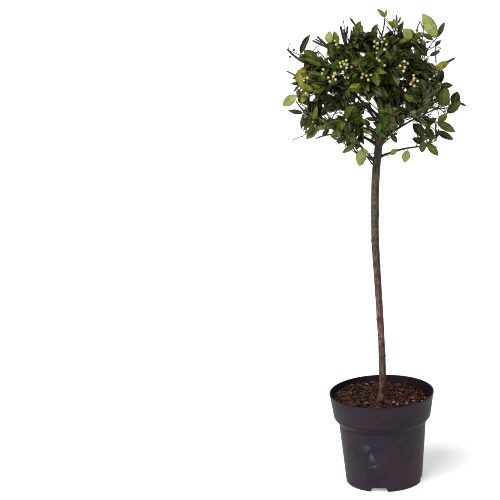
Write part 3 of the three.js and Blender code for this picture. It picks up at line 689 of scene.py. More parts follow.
def hides_standout(p):
    """True where a point is in front of the middle of a leaf that stands out."""
    gaps = np.linalg.norm(standout_middles - pixel_of(p), axis=1)
    ahead = (p * MM - EYE).length < np.array(standout_distances)
    return bool((ahead & (gaps < standout_reach)).any())


print("leaves that stand out", len(standouts))

# %% [markdown]
# Berries sit in small clusters round the shoots, a little inside the leaves. The clusters that the
# photograph shows are placed first, each on the shoot that passes nearest. The other sides of the
# head get thirty by seeded chance. They are placed before the leaves, so that no leaf hides them.

# %% Places of the berry clusters
FRUIT_SEED = 9000
CLUSTERS_IN_VIEW = [
    [(375, 42), (378, 43.5), (374.5, 46.5), (377.5, 49)],
    [(384, 39), (382, 41.5), (386, 44), (385, 49.5)],
    [(376, 53), (376.5, 58.5), (384, 65.5)],
    [(404.5, 61.2), (407.5, 63), (400.3, 65.8), (404.5, 66.8), (403.5, 71.2)],
    [(414, 75.5), (413.5, 80), (418, 80.5), (411, 84), (414, 85.7)],
    [(416.5, 31), (416.8, 34), (421.5, 32.5), (419.6, 36)],
    [(340.5, 63), (343.5, 62), (341, 66), (346.5, 60), (345, 64.5), (352, 67)],
    [(346.5, 68), (343.5, 72), (344.5, 77.5)],
    [(335.5, 73.5), (333, 76), (336, 79)],
    [(328.5, 78), (329.5, 81.5), (323, 70)],
    [(362.5, 74.5), (367, 75.5), (371.5, 75), (361.8, 78.2), (368, 80.2)],
    [(335.5, 41), (336.5, 45), (338.5, 47.5)],
    [(304.5, 77.5), (307.8, 78), (305.7, 93)],
]
BERRY_SCATTER, BERRY_PARTNER, PARTNER_SHARE = 1.5, 9, 0.3
CLUSTERS_ELSEWHERE, CLUSTER_TRIES, CLUSTER_BERRIES = 30, 4000, 5
CLUSTER_SPACING, CLUSTER_SPREAD = 26, 9
CLUSTER_PLACES, SHELL_SHARES = (0.45, 0.85), (0.66, 0.9)
FRONT = -0.25


def nearest_on(axes, p):
    """The shoot and the share along it that pass nearest to a point."""
    places = [(axis, i / 8) for axis in axes for i in range(1, 8)]
    return min(places, key=lambda place: (place[0].at(place[1])[0] - p).length)


def shell_crossing(pixel):
    """Where a pixel's line of sight comes well inside the head's outline, on the viewer's side."""
    for behind in range(-230, 60, 4):
        p = place_in_photo(pixel, behind)
        if head_share(p, 0) <= SHELL_SHARES[1]:
            return p
    return place_in_photo(pixel, 0)


class Cluster:
    """A few berries on one shoot, and the side of them that is open."""

    def __init__(self, berries, axis, share, open_side):
        self.berries, self.axis, self.share, self.open_side = berries, axis, share, open_side
        self.middle = sum(berries, Vector()) / len(berries)


clusters = []
chance = seeded(FRUIT_SEED)
for pixels in CLUSTERS_IN_VIEW:
    berries = [shell_crossing(pixel) + scatter(chance, BERRY_SCATTER) for pixel in pixels]
    berries += [p + scatter(chance, BERRY_PARTNER) for p in berries if chance() < PARTNER_SHARE]
    middle = sum(berries, Vector()) / len(berries)
    axis, share = nearest_on(shoots + twigs, middle)
    clusters.append(Cluster(berries, axis, share, (EYE / MM - middle).normalized()))
in_view = len(clusters)
for _ in range(CLUSTER_TRIES):
    if len(clusters) >= in_view + CLUSTERS_ELSEWHERE:
        break
    axis = shoots[int(chance() * len(shoots))]
    share = mix(*CLUSTER_PLACES, chance())
    p, _ = axis.at(share)
    shown_already = outward(p).y < FRONT
    if shown_already or not SHELL_SHARES[0] < head_share(p, 0) < SHELL_SHARES[1]:
        continue
    if p.z > HEAD_CENTRE.z and all((p - c.middle).length > CLUSTER_SPACING for c in clusters):
        seat = p + outward(p) * CLUSTER_SPREAD
        count = CLUSTER_BERRIES - int(chance() * 3)
        berries = [seat + scatter(chance, CLUSTER_SPREAD) for _ in range(count)]
        berries = [p for p in berries if not shows_sky(p)] or berries[:1]
        clusters.append(Cluster(berries, axis, share, outward(p)))
print("berry clusters", len(clusters), "berries", sum(len(c.berries) for c in clusters))

# %% [markdown]
# Holly leaves stand singly along the young wood, each turned by the golden angle from the one
# before, and close together at the shoot's end. The blade turns its upper side out to the light.
# A leaf is skipped where it would leave its mass's space, touch a bough, hide a berry cluster,
# lie in another leaf, or close a gap where the photograph shows sky. Most leaves of one twig
# share a colour, as one season's growth does.

# %% Places of the leaves
LEAF_SEED = 5000
LEAF_LENGTHS = (38, 55)
LEAF_WIDTH_SHARES = (0.48, 0.6)
LEAF_PITCH, LEAF_END_GAP = 9.5, 1.5
LEAF_ATTEMPTS, LEAF_SHRINK = 7, 0.91
LEAF_OPENINGS, LEAF_OUTWARD, LEAF_SAG = (0.45, 1.2), 0.18, Vector((0, 0, -0.1))
FACE_OUTWARD, FACE_UP, FACE_SCATTER = 0.75, Vector((0, 0, 0.5)), 0.55
LEAF_SPACING, BLADE_MIDDLE, PETIOLE = 9.5, 0.45, 6
END_LEAF_SHARE, TWIG_COLOUR_SHARE = 0.72, 0.8
BERRY_VIEW_R, BERRY_VIEW_FROM, BERRY_VIEW_TO = 13, -5, 110
MOST_LEAVES = 6000
LEAFY_SHARES = {NEW: 0.9, YOUNG: 0.62, OLD: 0.5}
SPRAY_COLOURS = [
    ("deep", 0.44), ("green", 0.27), ("bright", 0.06),
    ("bronze", 0.05), ("olive", 0.13), ("pale", 0.05),
]
# Painted shade, in part: inside the head and low in it, darker colours are dealt more often.
INNER_SHADE_DRAW, LOW_SHADE_DRAW, LIGHT_RISE = 0.64, 0.35, 160


class Leaf:
    """A leaf: where its blade starts, its two directions, its size, its twig and its bends."""

    def __init__(self, twig_point, root, direction, normal, length, width, colour, random):
        self.twig_point, self.root, self.direction, self.colour = twig_point, root, direction, colour
        self.normal = (normal - direction * normal.dot(direction)).normalized()
        self.length, self.width = length, width
        self.fold = mix(0.12, 0.6, random())
        self.curl = mix(0.0, 1.1, random())
        self.twist = mix(-0.5, 0.5, random())
        self.cup = mix(-0.12, 0.3, random())
        self.wave = mix(0.3, 1.6, random())
        self.phase = random() * 2 * math.pi
        self.spines = mix(0.3, 1.0, random()) if random() < 0.35 else mix(0.0, 0.25, random())


def spray_colour(random, end):
    """A colour for one twig's leaves: by chance, lighter towards the outline and up the head, and darker
    inside and low down, partly as painted shade.
    """
    edge = min(1, head_share(end, 0)) ** 3
    rise = min(1, max(0, (end.z - HEAD_CENTRE.z) / LIGHT_RISE + 0.5))
    draw = random() * mix(INNER_SHADE_DRAW, 1, edge * mix(LOW_SHADE_DRAW, 1, rise))
    for colour, share in SPRAY_COLOURS:
        draw -= share
        if draw < 0:
            return colour
    return SPRAY_COLOURS[0][0]


def hides_berries(middle):
    """True where a leaf's middle lies on a berry or in front of its open side."""
    offset = np.array(middle) - berry_places
    ahead = (offset * berry_open_sides).sum(1)
    aside_by = np.linalg.norm(offset - ahead[:, None] * berry_open_sides, axis=1)
    seen = (ahead > BERRY_VIEW_FROM) & (ahead < BERRY_VIEW_TO)
    return bool((seen & (aside_by < BERRY_VIEW_R)).any())


berry_places = np.array([p for c in clusters for p in c.berries])
berry_open_sides = np.array([c.open_side for c in clusters for _ in c.berries])
leaf_middles = np.zeros((MOST_LEAVES, 3))
leaves = []


def lies_in_leaf(middle):
    """True where another leaf's middle is too near."""
    if not leaves:
        return False
    return bool((((leaf_middles[: len(leaves)] - middle) ** 2).sum(1) < LEAF_SPACING**2).any())


def keep_leaf(leaf):
    leaf_middles[len(leaves)] = leaf.root + leaf.direction * (leaf.length * BLADE_MIDDLE)
    leaves.append(leaf)


def grow_leaves(axis, random):
    """Leaves along one shoot or twig, from its end down."""
    colour = spray_colour(random, axis.line[-1])
    turned = random() * 2 * math.pi
    leafy = axis.length * LEAFY_SHARES[axis.age]
    k = 0
    while LEAF_END_GAP + k * LEAF_PITCH < leafy:
        share = 1 - (LEAF_END_GAP + k * LEAF_PITCH) / axis.length
        start, along = axis.at(max(share, 0))
        for attempt in range(LEAF_ATTEMPTS):
            turned += GOLDEN_ANGLE
            opening = mix(*LEAF_OPENINGS, min(1, k / 3)) + 0.3 * (random() - 0.5)
            direction, radial = aside(along, turned, opening)
            out = outward(start)
            direction = (direction + out * LEAF_OUTWARD + LEAF_SAG).normalized()
            normal = out * FACE_OUTWARD + FACE_UP + scatter(random, FACE_SCATTER)
            length = mix(*LEAF_LENGTHS, random()) * (END_LEAF_SHARE if k == 0 else 1)
            length *= LEAF_SHRINK**attempt
            width = length * mix(*LEAF_WIDTH_SHARES, random())
            root = start + radial * axis.radius(share) + direction * PETIOLE
            own = colour if random() < TWIG_COLOUR_SHARE else spray_colour(random, start)
            leaf = Leaf(start, root, direction, normal, length, width, own, random)
            middle, tip = root + direction * (length * BLADE_MIDDLE), root + direction * length
            side = direction.cross(leaf.normal) * (width / 2)
            blade = (tip, middle + side, middle - side)
            in_sight = (*blade, middle, root, root.lerp(tip, 0.75))
            if (
                not all(holds(axis.mass, p, 0) for p in blade)
                or any(wood_clearance(p) < LIMB_GAP for p in (*blade, middle))
                or any(shows_sky(p, axis.mass) for p in in_sight)
                or closes_window(root, tip, side)
                or lies_in_leaf(middle)
                or any(hides_berries(p) or hides_standout(p) for p in (middle, tip))
            ):
                continue
            keep_leaf(leaf)
            axis.bear()
            break
        k += 1


for limb in LIMBS:
    chance = seeded(LEAF_SEED + LIMBS.index(limb))
    for axis in shoots + twigs:
        if axis.mass is limb:
            grow_leaves(axis, chance)
for cluster in clusters:
    cluster.axis.bear()
shoots, twigs = ([axis for axis in axes if axis.bears] for axes in (shoots, twigs))
print("leaves by the rule", len(leaves), "shoots", len(shoots), "twigs", len(twigs))

# %% [markdown]
# The leaves that stand out are hung on thin twigs from the nearest shoot. The bare twigs that show
# against the sky are placed by their pixels too. One that starts at the stem needs no other twig
# to hold it.

# %% Twigs for the leaves that stand out, and bare twigs
# Root pixel, tip pixel, millimetres behind the stem's middle, radius at the root.
BARE_TWIGS = {
    "crest": [
        ((381.5, 36), (384.8, 18), 3, 2.1), ((398, 38), (402, 24), -14, 3.4),
        ((396.5, 22), (396.5, 15), -14, 2.6), ((398.5, 22), (400.5, 17.5), -14, 2.8),
        ((395, 38), (386.5, 26.5), -26, 2.4), ((382, 37), (376.5, 26.5), -6, 2.2),
    ],
    "fork at the left": [
        ((329, 48), (312.5, 40.5), -70, 3.2), ((327, 46), (317, 36.5), -40, 3.2),
        ((322, 43), (315, 39), -32, 2.2),
    ],
    "stubs at the top left": [
        ((346, 45), (340.5, 26), 6, 4.2), ((346, 43), (344, 29), -44, 3.6),
        ((345.5, 37), (347.5, 26), -20, 3.4), ((348, 46), (351.5, 30), 24, 3.0),
        ((344, 30), (343, 20), -24, 1.3),
    ],
    "left edge": [
        ((303, 62), (287, 49), -30, 3.0), ((288.5, 50.5), (289.5, 43), -30, 1.1),
        ((301, 80), (286.5, 71), 20, 2.2), ((304, 111), (296, 101), -16, 2.2),
        ((337, 134), (316, 138.5), -50, 2.2), ((303, 136), (292.5, 140), -14, 1.1),
    ],
    "right edge": [
        ((415, 109), (445, 109), -50, 2.4), ((438.5, 120), (449, 112), -12, 2.2),
        ((436, 62), (436, 40), -20, 1.7), ((441, 48), (437, 51), -16, 1.2),
        ((416.5, 31), (420, 21.5), -60, 1.8), ((424, 30), (420.5, 21.5), -60, 1.8),
    ],
    "fan inside the head": [
        ((380, 112), (357, 91), -40, 1.5), ((380, 109), (365.5, 87), -52, 1.4),
        ((379, 114), (349, 100), -30, 1.5), ((381, 107), (373, 88), -60, 1.3),
        ((378, 119), (362, 108), -44, 1.4),
    ],
    "spurs on the stem": [
        ((377, 162), (356, 140), -6, 3.4), ((377, 169), (363, 151), -6, 2.2),
    ],
}
# Pixel and millimetres behind the stem's middle.
BERRIES_ALONE = [((293.8, 49.8), -30), ((290, 56.8), -32), ((427.5, 42), -30)]


JOIN_FOLLOW, JOIN_STEPS, JOIN_R, JOIN_TIP_R = 0.6, 6, 1.2, 0.9
OFF_STEM, CONNECTED = 14, 2
STANDOUT_CURL, STANDOUT_TWIST, STANDOUT_SPINES = 0.35, 0.4, 0.3
BARE_TAPER = 0.75


def connect(p):
    """A thin twig from the nearest shoot to a point, curved like the shoots."""
    axis, share = nearest_on(shoots + twigs, p)
    start, along = axis.at(share)
    if (start - p).length < CONNECTED:
        return None
    heading = ((p - start).normalized() + along * JOIN_FOLLOW).normalized()
    return Shoot(bend(start, heading, p, JOIN_STEPS), JOIN_R, JOIN_TIP_R, NEW, axis.mass)


connections = []
chance = seeded(LEAF_SEED - 1)
to_viewer = (EYE / MM - HEAD_CENTRE).normalized()
for root_pixel, tip_pixel, behind, width_share, fold, colour in standouts:
    root, tip = place_in_photo(root_pixel, behind), place_in_photo(tip_pixel, behind)
    direction = (tip - root).normalized()
    normal = to_viewer + outward(root) * 0.3 + Vector((0, 0, 0.25)) + scatter(chance, 0.25)
    length = (tip - root).length
    twig_point = root - direction * PETIOLE
    leaf = Leaf(twig_point, root, direction, normal, length, length * width_share, colour, chance)
    leaf.fold, leaf.curl, leaf.twist = fold, leaf.curl * STANDOUT_CURL, leaf.twist * STANDOUT_TWIST
    leaf.spines = min(leaf.spines, STANDOUT_SPINES)
    keep_leaf(leaf)
    connections.append(connect(twig_point))
for root_pixel, tip_pixel, behind, radius in [row for rows in BARE_TWIGS.values() for row in rows]:
    root, tip = place_in_photo(root_pixel, behind), place_in_photo(tip_pixel, behind)
    heading = ((tip - root).normalized() + scatter(chance, 0.25)).normalized()
    mass = nearest_on(shoots, root)[0].mass
    line = bend(root, heading, tip, JOIN_STEPS)
    connections.append(Shoot(line, radius, radius * BARE_TAPER, YOUNG, mass))
    if (root - stem_at(root.z)[0]).length > OFF_STEM:
        connections.append(connect(root))
connections = [twig for twig in connections if twig is not None]
print("leaves in all", len(leaves), "joining twigs", len(connections))

# %% [markdown]
# Every piece of the plant is gathered from many small closed parts and made into one mesh, as
# thousands of separate objects would be slow to handle and would be lost in an export. Each part
# says which of the piece's materials it has. Points that are marked as crisp keep a hard edge.

# %% Gathering a mesh
class Gathering:
    """The parts of one piece: points in millimetres, faces, materials, places on a leaf, edges."""

    def __init__(self):
        self.points, self.faces, self.slots, self.places, self.crisp = [], [], [], [], []
        self.count = 0

    def add(self, points, faces, slots, places=None, crisp=None):
        points = np.asarray(points, float).reshape(-1, 3)
        start, many = self.count, len(points)
        self.points.append(points)
        self.faces += [tuple(start + i for i in face) for face in faces]
        self.slots += [slots] * len(faces) if isinstance(slots, int) else list(slots)
        self.places.append(np.zeros((many, 2)) if places is None else places)
        self.crisp.append(np.zeros(many, bool) if crisp is None else crisp)
        self.count += many

    def as_mesh(self, name):
        mesh = bpy.data.meshes.new(name)
        mesh.from_pydata(np.concatenate(self.points) * MM, [], self.faces)
        return mesh

    def build(self, name, materials, finish, nodes, smooth=True):
        """The piece itself, which rides on the plant and stands for the named plain solids."""
        mesh = self.as_mesh(name)
        for material in materials:
            mesh.materials.append(material)
        mesh.polygons.foreach_set("material_index", self.slots)
        mesh.polygons.foreach_set("use_smooth", [smooth] * len(self.faces))
        corners = np.empty(len(mesh.loops), int)
        mesh.loops.foreach_get("vertex_index", corners)
        layer = mesh.uv_layers.new(name="UVMap")
        layer.data.foreach_set("uv", np.concatenate(self.places)[corners].ravel())
        crisp = np.concatenate(self.crisp)
        if crisp.any():
            ends = np.empty(2 * len(mesh.edges), int)
            mesh.edges.foreach_get("vertices", ends)
            mesh.edges.foreach_set("use_edge_sharp", crisp[ends].reshape(-1, 2).all(1))
        mesh.update()
        as_piece(put_in_scene(name, mesh), nodes)


def put_in_scene(name, data):
    """An object with a mesh or a light, placed in the scene."""
    made = bpy.data.objects.new(name, data)
    bpy.context.scene.collection.objects.link(made)
    return made


def as_piece(piece, nodes):
    """Says what a piece rides on and which plain solids it stands for."""
    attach(piece, "root")
    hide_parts(*nodes)
    piece.data.calc_loop_triangles()
    print(piece.name, "triangles", len(piece.data.loop_triangles))


# %% [markdown]
# Wood is round, so the stem, the boughs and the twigs are tubes along their lines. The ring at
# each point stands square to the line, and turns as little as it can from the ring before, which
# keeps the bark's lines from winding round the wood.

# %% Tubes
def rings_along(points):
    """Three arrays: the points of a line, and two directions across the line at each of them."""
    points = np.array([tuple(p) for p in points], float)
    runs = np.gradient(points, axis=0)
    runs /= np.linalg.norm(runs, axis=1)[:, None]
    first = np.array(across_axis(Vector(runs[0])))
    firsts = []
    for run in runs:
        first = first - run * first.dot(run)
        first /= np.linalg.norm(first)
        firsts.append(first)
    firsts = np.array(firsts)
    return points, firsts, np.cross(runs, firsts)


def ring_faces(rings, sides, first=0):
    """The faces between rings of points, where the lowest ring starts at the first point."""
    faces = []
    for i in range(rings - 1):
        low, high = first + i * sides, first + (i + 1) * sides
        for s in range(sides):
            t = (s + 1) % sides
            faces.append((low + s, low + t, high + t, high + s))
    return faces


def ring(r, z, angles):
    """A level ring of points about the upright axis."""
    return [(r * math.cos(a), r * math.sin(a), z) for a in angles]


def closed_rings(low, rings, high):
    """The points and faces of rings that stand between a lowest point and a highest one."""
    sides = len(rings[0])
    faces = ring_faces(len(rings), sides, 1)
    final = 1 + (len(rings) - 1) * sides
    for s in range(sides):
        t = (s + 1) % sides
        faces += [(0, 1 + t, 1 + s), (final + s, final + t, final + sides)]
    return np.array([low, *(p for level in rings for p in level), high]), faces


def tube_faces(rings, sides):
    """The faces of a tube closed by flat ends."""
    low, high = tuple(reversed(range(sides))), tuple(range((rings - 1) * sides, rings * sides))
    return [*ring_faces(rings, sides), low, high]


def tube(points, radii, sides):
    """The points and faces of a tube; radii is one for each ring, or one for each point of it."""
    middles, firsts, seconds = rings_along(points)
    angles = np.arange(sides) * 2 * np.pi / sides
    radii = np.asarray(radii, float)
    radii = radii[:, None] * np.ones(sides) if radii.ndim == 1 else radii
    round_x = np.cos(angles)[None, :, None] * firsts[:, None]
    round_y = np.sin(angles)[None, :, None] * seconds[:, None]
    surface = middles[:, None] + radii[:, :, None] * (round_x + round_y)
    return surface.reshape(-1, 3), tube_faces(len(middles), sides)


print("faces of a tube of two rings", len(tube_faces(2, 6)))

# %% [markdown]
# Colours are written as they look on a screen, from 0 to 255. A few effects serve several of the
# materials, so each is a small group of shader nodes with its own inputs: a mottled colour, a
# fine relief, small specks, and the veins of a leaf. A group gives only a colour, a mask or a
# height, and the shader stays in the material.

# %% Colours and node helpers
def paint(red, green, blue):
    """A colour as it looks on a screen, as the linear colour that Blender mixes."""
    shares = [value / 255 for value in (red, green, blue)]
    linear = [s / 12.92 if s <= 0.04045 else ((s + 0.055) / 1.055) ** 2.4 for s in shares]
    return (*linear, 1.0)


def node(tree, kind, inputs, **settings):
    """A node with its settings; each input is a plain value or the output of another node."""
    made = tree.nodes.new(kind)
    for name, value in settings.items():
        setattr(made, name, value)
    for key, value in inputs.items():
        if isinstance(value, bpy.types.NodeSocket):
            tree.links.new(value, made.inputs[key])
        else:
            made.inputs[key].default_value = value
    return made


def blended(tree, share, low, high, blend_type="MIX"):
    """Two colours mixed by a share."""
    inputs = {0: share, 6: low, 7: high}
    return node(tree, "ShaderNodeMix", inputs, data_type="RGBA", blend_type=blend_type).outputs[2]


def worked(tree, operation, a, b=0.0, c=0.0):
    """The result of a sum on one to three numbers."""
    return node(tree, "ShaderNodeMath", {0: a, 1: b, 2: c}, operation=operation).outputs[0]


def times(tree, a, b):
    return worked(tree, "MULTIPLY", a, b)


def mapped(tree, value, low, high, to_low=0.0, to_high=1.0, kind="SMOOTHSTEP"):
    """A value spread from one range over another, and held within it."""
    inputs = {"Value": value, "From Min": low, "From Max": high, "To Min": to_low, "To Max": to_high}
    return node(tree, "ShaderNodeMapRange", inputs, interpolation_type=kind).outputs[0]


def effect_group(name, inputs, outputs):
    """An empty group of shader nodes with named inputs and outputs, and its two end nodes."""
    tree = bpy.data.node_groups.new(name, "ShaderNodeTree")
    for sockets, side in ((inputs, "INPUT"), (outputs, "OUTPUT")):
        for title, kind in sockets.items():
            tree.interface.new_socket(title, in_out=side, socket_type="NodeSocket" + kind)
    return tree, tree.nodes.new("NodeGroupInput").outputs, tree.nodes.new("NodeGroupOutput").inputs


def use_group(tree, group, **inputs):
    """A group placed in a material with its own values; returns its outputs."""
    return node(tree, "ShaderNodeGroup", inputs, node_tree=group).outputs


print("mid grey", round(paint(128, 128, 128)[0], 3))

# %% Groups for effects that several materials share
mottle, given, result = effect_group(
    "mottled_colour",
    {"Place": "Vector", "Scale": "Float", "Spread": "Float", "Dark": "Color", "Light": "Color"},
    {"Color": "Color"},
)
cloud = node(mottle, "ShaderNodeTexNoise", {"Vector": given["Place"], "Scale": given["Scale"],
                                            "Detail": 4.0, "Roughness": 0.62})
low = worked(mottle, "SUBTRACT", 0.5, given["Spread"])
high = worked(mottle, "ADD", 0.5, given["Spread"])
share = mapped(mottle, cloud.outputs[0], low, high)
mottle.links.new(blended(mottle, share, given["Dark"], given["Light"]), result["Color"])

relief, given, result = effect_group(
    "fine_relief", {"Place": "Vector", "Scale": "Float", "Fineness": "Float"}, {"Height": "Float"}
)
broad = node(relief, "ShaderNodeTexNoise", {"Vector": given["Place"], "Scale": given["Scale"]})
fine_scale = times(relief, given["Scale"], given["Fineness"])
fine = node(relief, "ShaderNodeTexNoise", {"Vector": given["Place"], "Scale": fine_scale})
half = times(relief, fine.outputs[0], 0.5)
relief.links.new(worked(relief, "ADD", broad.outputs[0], half), result["Height"])

specks, given, result = effect_group(
    "small_specks",
    {"Place": "Vector", "Scale": "Float", "Size": "Float", "Share": "Float"},
    {"Mask": "Float"},
)
cells = node(specks, "ShaderNodeTexVoronoi", {"Vector": given["Place"], "Scale": given["Scale"]})
inner = times(specks, given["Size"], 0.55)
spot = mapped(specks, cells.outputs["Distance"], given["Size"], inner)
draw = node(specks, "ShaderNodeSeparateColor", {0: cells.outputs["Color"]}).outputs[0]
kept = worked(specks, "LESS_THAN", draw, given["Share"])
specks.links.new(times(specks, spot, kept), result["Mask"])

# A leaf's place runs from 0 to 1 across the blade and from 0 to 1 along it.
veins, given, result = effect_group(
    "leaf_veins",
    {"Place": "Vector", "Pairs": "Float"},
    {"Height": "Float", "Mask": "Float", "Rim": "Float"},
)
VEIN_SLANT, VEIN_WIDTH, RIM_START = 0.16, 0.16, 0.34
parts = node(veins, "ShaderNodeSeparateXYZ", {0: given["Place"]}).outputs
off_rib = worked(veins, "ABSOLUTE", worked(veins, "SUBTRACT", parts[0], 0.5))
slanted = worked(veins, "MULTIPLY_ADD", off_rib, -2 * VEIN_SLANT, parts[1])
repeat = worked(veins, "FRACT", times(veins, slanted, given["Pairs"]))
off_vein = worked(veins, "ABSOLUTE", worked(veins, "SUBTRACT", repeat, 0.5))
in_vein = mapped(veins, off_vein, VEIN_WIDTH, 0.0)
quilt = mapped(veins, off_vein, 0.0, 0.5)
veins.links.new(quilt, result["Height"])
veins.links.new(in_vein, result["Mask"])
veins.links.new(mapped(veins, off_rib, RIM_START, 0.5), result["Rim"])
print("effect groups", [group.name for group in bpy.data.node_groups])

# %% [markdown]
# Every material starts the same way: one shader, with the plain numbers set on it, and a bump
# that takes its height from a group. The place on the plant is the object's own coordinates,
# which are the same as the world's, so a pattern stays where it is from every side. The plain
# finishes here are two mottled colours, often with small dots of a third.

# %% A new material
COAT_ROUGHNESS = 0.22


def new_material(name, roughness, specular, coat=0.0):
    """A material, its nodes, its shader, and the place on the plant."""
    material = bpy.data.materials.new(name)
    material.use_nodes = True
    tree = material.node_tree
    shader = tree.nodes["Principled BSDF"]
    shader.inputs["Roughness"].default_value = roughness
    shader.inputs["Specular IOR Level"].default_value = specular
    if coat:
        shader.inputs["Coat Weight"].default_value = coat
        shader.inputs["Coat Roughness"].default_value = COAT_ROUGHNESS
    return material, tree, shader, tree.nodes.new("ShaderNodeTexCoord").outputs


def raise_surface(tree, shader, height, distance, strength=1.0):
    """A bump from a height, over a distance in metres."""
    inputs = {"Height": height, "Distance": distance, "Strength": strength}
    tree.links.new(node(tree, "ShaderNodeBump", inputs).outputs[0], shader.inputs["Normal"])


def roughen(tree, shader, place, scale, fineness, distance, strength=1.0):
    """A bump from the fine relief."""
    grain = use_group(tree, relief, Place=place, Scale=scale, Fineness=fineness)
    raise_surface(tree, shader, grain["Height"], distance, strength)


def mottled(tree, place, scale, spread, dark, light):
    """A colour that clouds from one paint to another."""
    paints = {"Dark": paint(*dark), "Light": paint(*light)}
    return use_group(tree, mottle, Place=place, Scale=scale, Spread=spread, **paints)["Color"]


def dotted(tree, place, scale, size, share):
    """A mask of small specks."""
    return use_group(tree, specks, Place=place, Scale=scale, Size=size, Share=share)["Mask"]


def product(tree, a, b):
    """One colour multiplied by another."""
    return blended(tree, 1.0, a, b, "MULTIPLY")


def stretched(tree, place, across, along):
    """A place with its height scaled apart from its width, for patterns that run up the wood."""
    scale = (across, across, along)
    return node(tree, "ShaderNodeMapping", {"Vector": place, "Scale": scale}).outputs[0]


def plain_finish(name, shine, paints, scale, grain, dots=None, spread=0.2, along=1.0):
    """Two mottled paints under a fine grain, with dots given by their scale, strength and paint."""
    material, tree, shader, place = new_material(name, *shine)
    drawn = stretched(tree, place["Object"], 1.0, along)
    colour = mottled(tree, drawn, scale, spread, *paints)
    if dots:
        dot_scale, strength, dot_paint = dots
        faint = times(tree, dotted(tree, place["Object"], dot_scale, 0.3, 0.3), strength)
        colour = blended(tree, faint, colour, paint(*dot_paint))
    tree.links.new(colour, shader.inputs["Base Color"])
    roughen(tree, shader, drawn, *grain)
    return material


# %% [markdown]
# The bark of a young holly is thin and nearly smooth. Up to its middle this stem is a reddish
# grey brown, and further up it turns grey with a green tinge. Small pale breathing pores and fine
# upright wrinkles cover it. So its colour is read from the height, and the mottling and the specks
# are laid over it.

# %% Bark materials
# Height in metres, and paint.
BARK_HEIGHTS = [
    (0.22, (128, 98, 92)), (0.30, (122, 96, 86)), (0.40, (122, 96, 88)), (0.50, (122, 94, 90)),
    (0.57, (110, 82, 82)), (0.63, (96, 87, 80)), (0.72, (98, 92, 78)), (0.86, (94, 90, 70)),
    (1.00, (86, 84, 56)),
]

# The side turned to the right is painted darker and browner: painted shade on the side away from the light.
SHADED_SIDE_TURN = (-0.35, 0.75)
SHADED_SIDE_TINT = paint(212, 188, 150)


def bark_material(name, shade, speck_scale):
    """Bark whose colour follows the height, darker or lighter as a whole by its shade, with painted shade on
    the side turned to the right.
    """
    material, tree, shader, place = new_material(name, 0.72, 0.3)
    height = node(tree, "ShaderNodeSeparateXYZ", {0: place["Object"]}).outputs[2]
    low, high = BARK_HEIGHTS[0][0], BARK_HEIGHTS[-1][0]
    ramp = tree.nodes.new("ShaderNodeValToRGB")
    tree.links.new(mapped(tree, height, low, high, kind="LINEAR"), ramp.inputs[0])
    stops = ramp.color_ramp.elements
    while len(stops) < len(BARK_HEIGHTS):
        stops.new(0.5)
    for stop, (z, colour) in zip(stops, BARK_HEIGHTS):
        stop.position = (z - low) / (high - low)
        stop.color = paint(*(value * shade for value in colour))
    upright = stretched(tree, place["Object"], 1.0, 0.25)
    streaks = mottled(tree, upright, 260.0, 0.16, (112, 102, 90), (255, 252, 244))
    patches = mottled(tree, place["Object"], 38.0, 0.12, (176, 186, 172), (255, 244, 235))
    colour = product(tree, product(tree, ramp.outputs[0], streaks), patches)
    flat = stretched(tree, place["Object"], 1.0, 2.2)
    pores = dotted(tree, flat, speck_scale, 0.26, 0.35)
    colour = blended(tree, times(tree, pores, 0.6), colour, paint(190, 182, 164))
    # Painted shade: the side turned to the right is darkened and browned.
    facing = node(tree, "ShaderNodeNewGeometry", {}).outputs["Normal"]
    turned_right = node(tree, "ShaderNodeSeparateXYZ", {0: facing}).outputs[0]
    shaded_side = mapped(tree, turned_right, *SHADED_SIDE_TURN)
    colour = blended(tree, shaded_side, colour, SHADED_SIDE_TINT, "MULTIPLY")
    tree.links.new(colour, shader.inputs["Base Color"])
    wrinkles = use_group(tree, relief, Place=upright, Scale=420.0, Fineness=3.0)
    raise_surface(tree, shader, worked(tree, "ADD", wrinkles["Height"], pores), 0.0006)
    return material


stem_bark = bark_material("stem_bark", 1.0, 170.0)
# The boughs' bark is the stem's, painted darker as a whole: painted shade under the head.
bough_bark = bark_material("bough_bark", 0.64, 260.0)
print("bark heights", len(BARK_HEIGHTS))

# %% [markdown]
# The stem is one long tube with many rings, so that its relief is real shape: fine upright
# ridges, raised pores, and the knots where side shoots were once rubbed off. The bark stands a
# millimetre outside the plain solid. It flares at the compost into the tops of its roots, and ends
# above in the cut that made the head branch.

# %% The stem
STEM_RINGS, STEM_SIDES = 460, 56
STEM_SUNK = 4
BARK_DEPTH = 1.0
SMOOTHING = (-30, -15, 0, 15, 30)
FLARE_HEIGHT, FLARE_SHARE, FLARE_LOBES, FLARE_LOBE_SHARE = 15, 0.42, 4, 0.16
RIDGE_HEIGHT, SWELL_HEIGHT = 0.32, 0.45
KNOTS = [
    (792, -150), (721, -150), (668, -95), (640, -150), (528, -85), (455, -60), (350, 120),
    (600, 60), (740, 80), (835, 20), (862, -40), (410, -130), (300, 40), (560, 170), (770, 10),
]
KNOT_SIZE, KNOT_RISE = 5.2, 1.7
PORE_COUNT, PORE_RISE = 420, 0.4
STEM_END_ROUND = 6


def smooth_stem_at(z):
    """The stem's middle and radius at a height, with its bends and its taper made smooth."""
    near = [stem_at(min(max(z + d, STEM_FOOT), STEM_TOP)) for d in SMOOTHING]
    middle = sum((p for p, _ in near), Vector()) / len(near)
    return Vector((middle.x, middle.y, z)), sum(r for _, r in near) / len(near)


def angle_gap(a, b):
    """The least turn between two angles."""
    return (a - b + np.pi) % (2 * np.pi) - np.pi


def bump_round(rise, gap_along, gap_round, size):
    """A round swelling with a small dent in its middle, as a rubbed-off shoot leaves."""
    distance = np.sqrt(gap_along**2 + gap_round**2) / size
    return rise * (np.exp(-(distance**2) * 1.4) - 0.55 * np.exp(-(distance**2) * 9))


